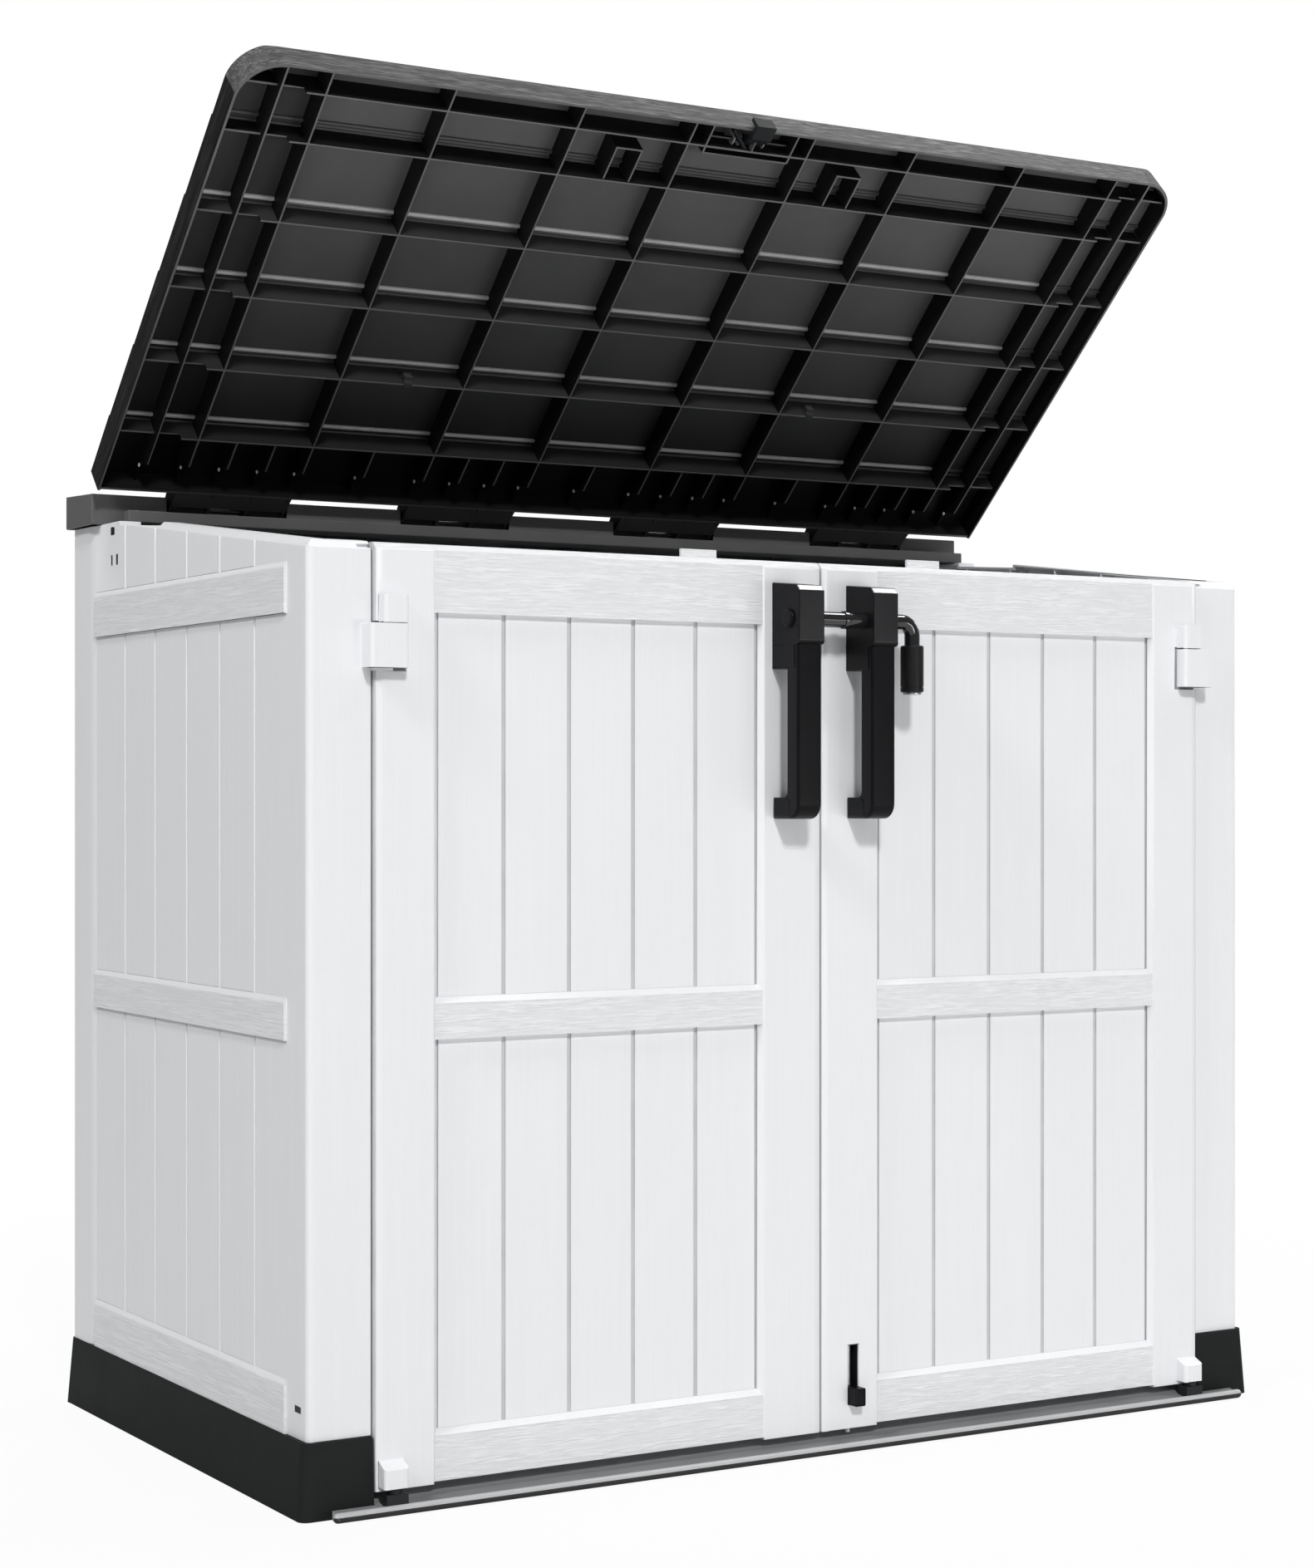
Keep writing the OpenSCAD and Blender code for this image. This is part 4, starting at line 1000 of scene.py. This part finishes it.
@dataclass
class DoorHandle:
    """Satin black handle: a block on the stile and a grip that bends back into a foot."""

    side: Side
    block_height: float = 0.110
    top_fall: float = 0.0065
    top_chamfer: float = 0.0066
    lip_round: float = 0.0060
    grip_in: float = 0.0008
    grip_depth: float = 0.024
    grip_round: float = 0.0045
    grip_set_back: float = 0.0045
    block_set_back: float = 0.0125
    foot_height: float = 0.027
    foot_round: float = 0.020
    step_height: float = 0.030
    step_slope: float = 0.0005
    edge: float = 0.0014
    sharp_above_step: float = 0.008
    sharp_behind: float = 0.02
    fall_zone: float = 0.01
    shine_height: float = 0.02
    shine_lean: float = 0.4
    grip_top: float = 0.07
    heel_round: float = 0.008
    heel_reach: float = 0.012
    screw_x: float = 0.0565
    screw_seat: float = 0.004
    screw_heights: tuple[float, ...] = (1.088, 1.012, 0.8225)

    def block(self, low: Vector, high: Vector) -> Workpiece:
        """Builds the block with its sloping top and the rounded lip over the grip.

        Args:
            low: Lowest corner of the handle.
            high: Highest corner of the handle.

        Returns:
            The block.
        """
        foot = high.z - self.block_height
        block = Workpiece.block(f"{self.side.word}_handle_body", (low.x, low.y, foot), high)
        step = foot + self.step_height
        for z in (step - self.step_slope, step):
            block.slice((0, 0, z), (0, 0, 1))
        under = step - self.step_slope - NEAR

        def in_front(middle: Vector, way: Vector) -> bool:
            """Whether an edge runs across the front face."""
            return abs(way.x) > ALONG and middle.y < low.y + NEAR

        block.shift(lambda c, n: n.y < -ALONG and c.z < under, (0, self.block_set_back, 0))
        block.lower(lambda m, d: in_front(m, d) and m.z > high.z - NEAR, self.top_fall)
        block.bevel(lambda m, d: in_front(m, d) and m.z > high.z - self.fall_zone, self.top_chamfer, 1)
        block.bevel(lambda m, d: in_front(m, d) and abs(m.z - step) < NEAR, self.lip_round, 5)
        upper, rear = step + self.sharp_above_step, low.y + self.sharp_behind
        block.soften(self.edge, 3, shortest=0.006, where=lambda m: m.z > upper or m.y > rear)
        return block

    def grip(self, low: Vector, high: Vector) -> Workpiece:
        """Builds the grip, drawn down from the block and back into the foot.

        Args:
            low: Lowest corner of the handle.
            high: Highest corner of the handle.

        Returns:
            The grip.
        """
        left, right = low.x + self.grip_in, high.x - self.grip_in
        front = low.y + self.grip_set_back
        rear, knee = front + self.grip_depth, low.z + self.foot_height
        grip = Workpiece.block("grip", (left, front, knee), (right, rear, high.z - self.grip_top))
        grip.extrude(lambda c, n: n.z < -ALONG, (0, 0, low.z - knee))
        grip.extrude(lambda c, n: n.y > ALONG and c.z < knee, (0, high.y - rear, 0))
        grip.bevel(lambda m, d: abs(d.x) > ALONG and m.z < low.z + NEAR and m.y < front + NEAR,
                   self.foot_round, 10)
        grip.bevel(lambda m, d: abs(d.x) > ALONG and abs(m.z - knee) < NEAR and abs(m.y - rear) < NEAR,
                   self.heel_round, 6)
        grip.bevel(lambda m, d: abs(d.x) < SQUARE and min(abs(m.x - left), abs(m.x - right)) < NEAR
                   and (m.y < rear - self.heel_reach or m.z < knee - self.heel_reach), self.grip_round, 4)
        return grip

    def build(self) -> None:
        """Builds the handle and its screws."""
        node, body = f"{self.side.word}_handle", f"{self.side.word}_door"
        low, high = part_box(node)
        handle = self.block(low, high).join([self.grip(low, high)])
        step, shine = high.z - self.block_height + self.step_height, high.z - self.shine_height
        # Painted light on the block's front faces.
        handle.paint(SATIN_BLACK).paint(HANDLE_LIT_FACE, lambda c, n: n.y < -ALONG and c.z > step)
        # Painted highlight on the block's top chamfer.
        handle.paint(HANDLE_HIGHLIGHT, lambda c, n: min(-n.y, n.z) > self.shine_lean and c.z > shine)
        handle.smooth(45).set_on(body, "handle_black", node)
        x = self.side.value * self.screw_x
        seats = tuple((x, high.y + self.screw_seat, z) for z in self.screw_heights)
        Screws(f"{node}_screws", body, seats, (0, 1, 0)).build()


@dataclass
class LockSet:
    """Lock bar through both handles: fixed half, sliding half, sleeve and key plug."""

    bar_radius: float = 0.010
    head_radius: float = 0.012
    head_length: float = 0.0045
    head_round: float = 0.0032
    bar_start: float = 0.003
    head_paint: float = 0.005
    collar_radius: float = 0.0115
    collar_length: float = 0.008
    collar_round: float = 0.0012
    disc_edge: float = 0.0006
    sleeve_round: float = 0.0022
    sleeve_groove: float = 0.006
    groove_width: float = 0.0012
    groove_depth: float = 0.0008
    groove_near: float = 0.0004

    def build(self) -> None:
        """Builds the four pieces of the lock."""
        low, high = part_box("lock_stud")
        y, z = (low.y + high.y) / 2, (low.z + high.z) / 2
        stud = Workpiece.rod("lock_bar_fixed_half", (low.x + self.bar_start, y, z), (high.x, y, z),
                             self.bar_radius)
        head = Workpiece.rod("head", (low.x, y, z), (low.x + self.head_length, y, z), self.head_radius)
        head.bevel(lambda m, d: m.x < low.x + TOUCH, self.head_round, 4)
        collar = Workpiece.rod("collar", (high.x - self.collar_length, y, z), (high.x, y, z),
                               self.collar_radius)
        collar.bevel(lambda m, d: abs(d.x) < SQUARE, self.collar_round, 2)
        stud.join([head, collar]).paint(LOCK_GLOSS)
        stud.paint(SATIN_BLACK, lambda c, n: c.x < low.x + self.head_paint)
        stud.smooth().set_on("left_door", "lock_metal", "lock_stud")
        bar = Workpiece.from_node("lock_bar", "lock_bar_sliding_half")
        bar.paint(LOCK_GLOSS).smooth(weigh=False).set_on("sliding_lock", "lock_metal", "lock_bar")
        self.sleeve()
        disc = Workpiece.from_node("lock_key_disc", "lock_key_plug")
        disc.soften(self.disc_edge, 2, shortest=0.0005).paint(ZINC).smooth()
        disc.set_on("sliding_lock", "steel", "lock_key_disc")

    def sleeve(self) -> None:
        """Builds the black sleeve with the ring groove near its lower end."""
        low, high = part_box("lock_body")
        x, y, radius = (low.x + high.x) / 2, (low.y + high.y) / 2, (high.x - low.x) / 2
        sleeve = Workpiece.rod("lock_sleeve", (x, y, low.z), (x, y, high.z), radius, sides=48)
        groove = low.z + self.sleeve_groove
        for z in (groove, groove + self.groove_width):
            sleeve.slice((0, 0, z), (0, 0, 1))
        middle = groove + self.groove_width / 2
        with sleeve.editing("FACE") as mesh:
            sleeve.pick_faces(mesh, lambda c, n: abs(n.z) < SQUARE and abs(c.z - middle) < self.groove_near)
            bpy.ops.mesh.extrude_region_shrink_fatten(
                TRANSFORM_OT_shrink_fatten={"value": -self.groove_depth})
        sleeve.bevel(lambda m, d: m.z > high.z - TOUCH or m.z < low.z + TOUCH, self.sleeve_round, 4)
        sleeve.paint(LOCK_BLACK).smooth().set_on("sliding_lock", "lock_black", "lock_body")


@dataclass
class FloorBolt:
    """Floor bolt in the right door: guide, rod and knob."""

    edge: float = 0.0012
    rim_width: float = 0.0028
    dish_depth: float = 0.0016

    def build(self) -> None:
        """Builds the knob with its finger rim; the guide and the rod keep their own shapes."""
        low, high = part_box("bolt_knob")
        knob = Workpiece.block("floor_bolt_knob", low, high)
        knob.inset(lambda c, n: n.y < -ALONG, self.rim_width, -self.dish_depth)
        knob.soften(self.edge, 3, shortest=0.004).paint(SATIN_BLACK).smooth()
        knob.set_on("floor_bolt", "handle_black", "bolt_knob")


@dataclass
class Lid:
    """Ribbed lid with beads along its board seams, rear studs and rib clips."""

    length: float = 0.6916
    half_width: float = 0.728
    edge: float = 0.0009
    seams: tuple[float, ...] = (0.098, 0.21925, 0.3405, 0.46175, 0.583)
    ceiling: float = 0.0342
    dim_from: float = 0.6130
    rib_margin: float = 0.003
    rim_thickness: float = 0.004
    tip_reach: float = 0.008
    tip_height: float = 0.012
    top_from: float = 0.0362
    top_lean: float = 0.2
    front_skin: float = 0.0004
    end_skin: float = 0.0006
    rim_foot: float = 0.0005
    corner_centre: tuple[float, float] = (0.663, -0.6266)
    corner_radius: float = 0.0645
    corner_from: tuple[float, float] = (0.66, -0.625)
    wide_bead: tuple[float, float, float] = (0.0090, 0.0152, 0.0034)
    narrow_bead: tuple[float, float, float] = (0.0010, 0.0050, 0.0026)
    bead_margin: float = 0.0045
    bead_bed: float = 0.0015
    bead_fullness: float = 0.92
    half_pitch: float = 0.176
    arms: tuple[float, ...] = (-0.0835, -0.028, 0.028, 0.0835)
    lone_studs: tuple[float, ...] = (-0.352, 0.0, 0.352, -0.671, 0.671)
    stud_low: tuple[float, float, float] = (-0.0032, -0.0345, 0.0175)
    stud_high: tuple[float, float, float] = (-0.0010, -0.0305, 0.0215)
    stud_edge: float = 0.0006
    clip_places: tuple[float, ...] = (-0.345, 0.312)
    clip_half: tuple[float, float] = (0.006, 0.0045)
    clip_heights: tuple[float, float] = (-0.0012, 0.0045)
    clip_back: float = 0.010
    clip_lip: float = 0.006
    clip_lip_from: float = 0.005

    @property
    def place(self) -> Matrix:
        """Matrix from the flat lid, with its rear edge at Y = 0 and its rim at Z = 0, to the open one."""
        hinge = next(j for j in frame["joints"] if j["name"] == "lid_hinge")
        return (Matrix.Translation(hinge["pos_m"]) @ Matrix.Rotation(-LID_OPEN, 4, "X")
                @ Matrix.Translation((0, -PIN_BEHIND_LID, -PIN_ABOVE_RIM)))

    def flat(self, centre: Vector, normal: Vector) -> tuple[Vector, Vector]:
        """A face's centre and normal in the flat lid."""
        back = self.place.inverted()
        return back @ centre, back.to_3x3() @ normal

    def is_rib_side(self, centre: Vector, normal: Vector) -> bool:
        """Whether a face is the side of a rib that runs from the rear to the front."""
        at, facing = self.flat(centre, normal)
        return abs(facing.x) > MOSTLY and abs(at.x) < self.half_width - self.rib_margin

    def is_cross_side(self, centre: Vector, normal: Vector) -> bool:
        """Whether a face is the side of a rib or rim that runs across the lid.

        Args:
            centre: The face's centre.
            normal: The face's normal.

        Returns:
            Whether it is.
        """
        at, facing = self.flat(centre, normal)
        inside = at.z < self.ceiling + self.rib_margin and at.y > self.rim_thickness - self.length
        return abs(facing.y) > MOSTLY and inside

    def is_rib_tip(self, centre: Vector, normal: Vector) -> bool:
        """Whether a face is the free edge of a rib.

        Args:
            centre: The face's centre.
            normal: The face's normal.

        Returns:
            Whether it is.
        """
        at, facing = self.flat(centre, normal)
        inside = abs(at.x) < self.half_width - self.rim_thickness and at.y > self.tip_reach - self.length
        return facing.z < -ALONG and at.z < self.tip_height and inside

    def is_end(self, centre: Vector, normal: Vector) -> bool:
        """Whether a face is on the left or the right end of the lid."""
        return abs(self.flat(centre, normal)[0].x) > self.half_width - self.end_skin

    def is_outside(self, centre: Vector, normal: Vector) -> bool:
        """Whether a face is on the lid's top or its outer rim.

        Args:
            centre: The face's centre.
            normal: The face's normal.

        Returns:
            Whether it is.
        """
        at, facing = self.flat(centre, normal)
        top = at.z > self.top_from and facing.z > self.top_lean
        front = at.y < self.front_skin - self.length
        beyond = (Vector((abs(at.x), at.y)) - Vector(self.corner_centre)).length > self.corner_radius
        at_corner = abs(at.x) > self.corner_from[0] and at.y < self.corner_from[1]
        corner = beyond and at_corner and at.z > self.rim_foot
        return top or front or corner or self.is_end(centre, normal)

    def build(self) -> None:
        """Builds the lid and its details."""
        panel = Workpiece.from_node("lid_panel", "ribbed_lid")
        panel.soften(self.edge, 2, shortest=0.012)
        # Painted shade on the underside: darker lower down, and darker still in the outer cells on the left.
        panel.paint(LID_UNDER).paint(LID_SHADE, lambda c, n: c.x < -self.dim_from)
        # Painted shade on the sides of the ribs and of the cross ribs.
        panel.paint(LID_RIB_SHADE, self.is_rib_side).paint(LID_CROSS_SHADE, self.is_cross_side)
        # Painted shade on the foremost cross ribs.
        panel.paint(LID_NOSE_SHADE,
                    lambda c, n: self.is_cross_side(c, n) and self.flat(c, n)[0].y < -self.seams[-1])
        # Painted highlight on the rib edges; the top and the rim keep the lid's own colour.
        panel.paint(LID_TIP_HIGHLIGHT, self.is_rib_tip).paint(LID_TOP, self.is_outside)
        panel.paint(LID_SIDE, self.is_end)
        panel.smooth().set_on("lid", "graphite_resin", "lid_panel")
        self.beads()
        self.studs()
        self.clips()

    def bead(self, name: str, seam: float, section: tuple[float, float, float]) -> Workpiece:
        """Builds one rounded bead across the lid under its ceiling.

        Args:
            name: Name of the bead.
            seam: Distance of its board seam from the lid's rear edge.
            section: Distances of its rear and front side from the seam, and its height below the ceiling.

        Returns:
            The bead.
        """
        rear, front, drop = seam + section[0], seam + section[1], section[2]
        reach = self.half_width - self.bead_margin
        bead = Workpiece.block(name, (-reach, -front, self.ceiling - drop),
                               (reach, -rear, self.ceiling + self.bead_bed))
        for x in (-self.dim_from, self.dim_from):
            bead.slice((x, 0, 0), (1, 0, 0))
        return bead.bevel(lambda m, d: abs(d.x) > ALONG and m.z < self.ceiling - drop + TOUCH,
                          min(drop, (front - rear) / 2) * self.bead_fullness, 4)

    def beads(self) -> None:
        """Builds the pairs of beads in front of the cross ribs."""
        rows = {BEAD_HIGHLIGHT: [], SEAM_GREY: []}
        for i, seam in enumerate(self.seams):
            # Painted highlight on the wide beads, except in the front row.
            wide = BEAD_HIGHLIGHT if seam < self.seams[-1] else SEAM_GREY
            rows[wide].append(self.bead(f"wide_bead_{i}", seam, self.wide_bead))
            rows[SEAM_GREY].append(self.bead(f"narrow_bead_{i}", seam, self.narrow_bead))
        for name, finish in (("lid_wide_beads", BEAD_HIGHLIGHT), ("lid_narrow_beads", SEAM_GREY)):
            beads = rows[finish][0].join(rows[finish][1:]).place(self.place)
            beads.thing.name = name
            # The beads on the right keep the plain colour, without the painted highlight.
            beads.paint(finish).paint(SEAM_GREY, lambda c, n: c.x > self.dim_from)
            beads.smooth().set_on("lid", "graphite_resin")

    def studs(self) -> None:
        """Builds the small studs on the rear ribs, painted pale as glints (painted highlight)."""
        spots = [g * self.half_pitch + arm for g in (-3, -1, 1, 3) for arm in self.arms]
        spots += self.lone_studs
        first = Workpiece.block("lid_rear_studs", self.stud_low, self.stud_high)
        first.soften(self.stud_edge, 2, shortest=0.001)
        copies = [first.copy(f"stud_{i}", Matrix.Translation((x, 0, 0))) for i, x in enumerate(spots[1:])]
        first.place(Matrix.Translation((spots[0], 0, 0)))
        first.join(copies).place(self.place).paint(STUD_GLINT).smooth(weigh=False)
        first.set_on("lid", "graphite_resin")

    def clips(self) -> None:
        """Builds the two clips that straddle the second cross rib."""
        y = -self.seams[1]
        half_x, half_y = self.clip_half
        foot, head = self.clip_heights
        made = []
        for i, x in enumerate(self.clip_places):
            clip = Workpiece.block(f"clip_{i}", (x - half_x, y - half_y, foot),
                                   (x + half_x, y + half_y, head))
            clip.extrude(lambda c, n: n.z > ALONG, (0, 0, self.clip_back))
            clip.extrude(lambda c, n: n.y < -ALONG and c.z > self.clip_lip_from, (0, -self.clip_lip, 0))
            made.append(clip.soften(self.edge, 2, shortest=0.003))
        clips = made[0].join(made[1:]).place(self.place)
        clips.thing.name = "lid_rib_clips"
        clips.paint(LID_UNDER).smooth().set_on("lid", "graphite_resin")


@dataclass
class Latch:
    """Latch hook in the lid's front pocket, with its lever and bracket plates."""

    hook_x: float = 0.005
    hook_edge: float = 0.0009
    behind_front: float = 0.0276
    plate_offsets: tuple[float, ...] = (-0.028, -0.019, 0.019)
    plate_half: float = 0.0008
    plate_reach: tuple[float, float] = (-0.010, 0.008)
    plate_heights: tuple[float, float] = (0.007, 0.036)
    plate_foot: float = 0.008
    plate_round: float = 0.006
    lever_radius: float = 0.0036
    lever_x: tuple[float, float] = (-0.0330, -0.0020)
    lever_y: tuple[float, float] = (-0.0200, 0.0090)
    lever_z: float = 0.0060
    fin_x: tuple[float, float] = (0.0037, 0.0053)
    fin_y: tuple[float, float] = (-0.0250, 0.0085)
    fin_z: tuple[float, float] = (-0.0012, 0.0080)
    fin_skin: float = 0.0001

    def build(self, lid: Lid) -> None:
        """Builds the hook, the bracket plates and the lever.

        Args:
            lid: The lid that carries the latch.
        """
        hook = Workpiece.from_node("latch_hook", "lid_latch_hook")
        hook.soften(self.hook_edge, 2, shortest=0.003).paint(PLUG_BLACK).smooth(35)
        hook.set_on("latch", "black_plastic", "latch_hook")
        y = self.behind_front - lid.length
        plates = []
        for i, offset in enumerate(self.plate_offsets):
            x = self.hook_x + offset
            plate = Workpiece.block(f"plate_{i}",
                                    (x - self.plate_half, y + self.plate_reach[0], self.plate_heights[0]),
                                    (x + self.plate_half, y + self.plate_reach[1], self.plate_heights[1]))
            plates.append(plate.bevel(lambda m, d: abs(d.x) > ALONG and m.z < self.plate_foot,
                                      self.plate_round, 4))
        bracket = plates[0].join(plates[1:]).place(lid.place)
        bracket.thing.name = "latch_bracket"
        bracket.paint(BRACKET_ZINC).smooth().set_on("lid", "steel")
        tip, root = ((x, y + reach, self.lever_z) for x, reach in zip(self.lever_x, self.lever_y))
        lever = Workpiece.rod("latch_lever", tip, root, self.lever_radius, sides=24)
        low, high = ((x, y + reach, z) for x, reach, z in zip(self.fin_x, self.fin_y, self.fin_z))
        lever.join([Workpiece.block("latch_fin", low, high)]).place(lid.place).paint(PLUG_BLACK)
        left, right = self.fin_x[0] - self.fin_skin, self.fin_x[1] + self.fin_skin
        # Painted highlight on the latch's fin.
        lever.paint(LID_TIP_HIGHLIGHT, lambda c, n: left < c.x < right).smooth()
        lever.set_on("latch", "black_plastic")


@dataclass(frozen=True)
class SoftLamp:
    """Rectangular soft lamp with its power in watts."""

    name: str
    at: tuple[float, float, float]
    aim: tuple[float, float, float]
    size: tuple[float, float]
    power: float

    def light(self) -> None:
        """Hangs the lamp up, facing its aim."""
        data = bpy.data.lights.new(self.name, "AREA")
        data.shape = "RECTANGLE"
        data.size, data.size_y = self.size
        data.energy = self.power
        lamp = bpy.data.objects.new(self.name, data)
        bpy.context.scene.collection.objects.link(lamp)
        lamp.location = self.at
        lamp.rotation_euler = (Vector(self.aim) - Vector(self.at)).to_track_quat("-Z", "Y").to_euler()


LAMPS = (
    SoftLamp("key_lamp", at=(-3.4, -10.2, 8.6), aim=(0.0, -0.3, 0.6), size=(1.4, 1.4), power=930),
    SoftLamp("low_lamp", at=(1.5, -4.6, 0.40), aim=(0.0, -0.3, 1.2), size=(2.2, 0.6), power=32),
    SoftLamp("side_lamp", at=(-5.6, -1.4, 6.0), aim=(-0.3, 0.0, 0.7), size=(1.2, 1.2), power=215),
    SoftLamp("top_lamp", at=(2.1, -0.5, 4.4), aim=(0.1, -0.3, 0.9), size=(1.1, 1.0), power=50),
    SoftLamp("rear_lamp", at=(1.2, 4.8, 2.6), aim=(0.0, 0.3, 0.9), size=(2.0, 2.0), power=118),
    SoftLamp("right_lamp", at=(4.7, 0.9, 2.1), aim=(0.4, 0.0, 0.7), size=(2.0, 2.0), power=82),
)


@dataclass
class Studio:
    """Plain soft studio: white backdrop, pale floor, soft lamps on every side and the camera."""

    eye: tuple[float, float, float] = (-2.099, -3.500, 0.842)
    yaw: float = math.radians(-30.87)
    lens: float = 67.21
    sensor: float = 36.0
    rise: float = 0.0056
    ambient: float = 0.16
    floor_size: float = 60.0
    floor_height: float = -0.0006
    floor_shade: float = 0.70
    floor_roughness: float = 0.9
    floor_glow: tuple[float, float] = (0.93, 1.0)
    floor_reach: tuple[float, float] = (0.9, 2.6)

    def world(self) -> None:
        """Lights the object evenly, and shows white to the eye."""
        world = bpy.data.worlds.new("studio_air")
        bpy.context.scene.world = world
        world.use_nodes = True
        tree = world.node_tree
        path = tree.nodes.new("ShaderNodeLightPath")
        clear = tree.nodes.new("ShaderNodeMath")
        clear.operation = "MAXIMUM"
        strength = tree.nodes.new("ShaderNodeMapRange")
        strength.inputs["To Min"].default_value = self.ambient
        strength.inputs["To Max"].default_value = 1.0
        tree.links.new(path.outputs["Is Camera Ray"], clear.inputs[0])
        tree.links.new(path.outputs["Is Transmission Ray"], clear.inputs[1])
        tree.links.new(clear.outputs[0], strength.inputs["Value"])
        background = tree.nodes["Background"]
        background.inputs["Color"].default_value = (1.0, 1.0, 1.0, 1.0)
        tree.links.new(strength.outputs["Result"], background.inputs["Strength"])

    def floor(self) -> None:
        """Lays a pale floor that turns white to the eye but keeps the object's shadow."""
        bpy.ops.object.select_all(action="DESELECT")
        bpy.ops.mesh.primitive_plane_add(size=self.floor_size, location=(0, 0, self.floor_height))
        floor = bpy.context.object
        floor.name = "studio_floor"
        recipe = Recipe("studio_floor_paint")
        recipe.shader.inputs["Base Color"].default_value = (*(self.floor_shade,) * 3, 1.0)
        recipe.shader.inputs["Roughness"].default_value = self.floor_roughness
        recipe.shader.inputs["Specular IOR Level"].default_value = 0.0
        seen = recipe.node("ShaderNodeLightPath").outputs["Is Camera Ray"]
        place = recipe.node("ShaderNodeTexCoord").outputs["Object"]
        away = recipe.node("ShaderNodeVectorMath", {0: place}, operation="LENGTH").outputs["Value"]
        glow_share = recipe.steps(away, *self.floor_reach, *self.floor_glow)
        share = recipe.node("ShaderNodeMath", {0: seen, 1: glow_share}, operation="MULTIPLY").outputs["Value"]
        glow = recipe.node("ShaderNodeEmission", {"Color": (1.0, 1.0, 1.0, 1.0), "Strength": 1.0})
        mixed = recipe.node("ShaderNodeMixShader", {0: share})
        recipe.tree.links.new(recipe.shader.outputs["BSDF"], mixed.inputs[1])
        recipe.tree.links.new(glow.outputs["Emission"], mixed.inputs[2])
        recipe.tree.links.new(mixed.outputs["Shader"], recipe.tree.nodes["Material Output"].inputs["Surface"])
        floor.data.materials.append(recipe.material)

    def camera(self) -> None:
        """Sets the camera where the photograph was taken from."""
        data = bpy.data.cameras.new("photo_camera")
        data.lens = self.lens
        data.sensor_width = self.sensor
        data.shift_y = self.rise
        camera = bpy.data.objects.new("photo_camera", data)
        bpy.context.scene.collection.objects.link(camera)
        camera.location = self.eye
        camera.rotation_euler = (math.pi / 2, 0.0, self.yaw)
        bpy.context.scene.camera = camera

    def build(self) -> None:
        """Sets up the studio."""
        bpy.context.scene.view_settings.view_transform = "Standard"
        self.world()
        self.floor()
        for lamp in LAMPS:
            lamp.light()
        self.camera()


def paint_nodes() -> None:
    """Gives every node of the model its finish; most are then stood for by finished pieces."""
    for part in frame["record"]["subparts"]:
        finish = OWN_FINISHES.get(part["node"], NODE_FINISHES[part["material_slot"]])
        materials = frame["nodes"][part["node"]].data.materials
        materials.clear()
        materials.append(finish.material())


def main() -> None:
    """Builds the cabinet's pieces in order and reports them."""
    logging.basicConfig(level=logging.INFO, format="%(name)s: %(message)s")
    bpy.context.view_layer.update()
    paint_nodes()
    lid = Lid()
    BaseTray().build()
    for side in Side:
        SideWall(side).build()
        Door(side).build()
        DoorHandle(side).build()
    RearWall().build()
    HingeRail().build()
    LockSet().build()
    FloorBolt().build()
    lid.build()
    Latch().build(lid)
    Studio().build()


if __name__ == "__main__":
    main()
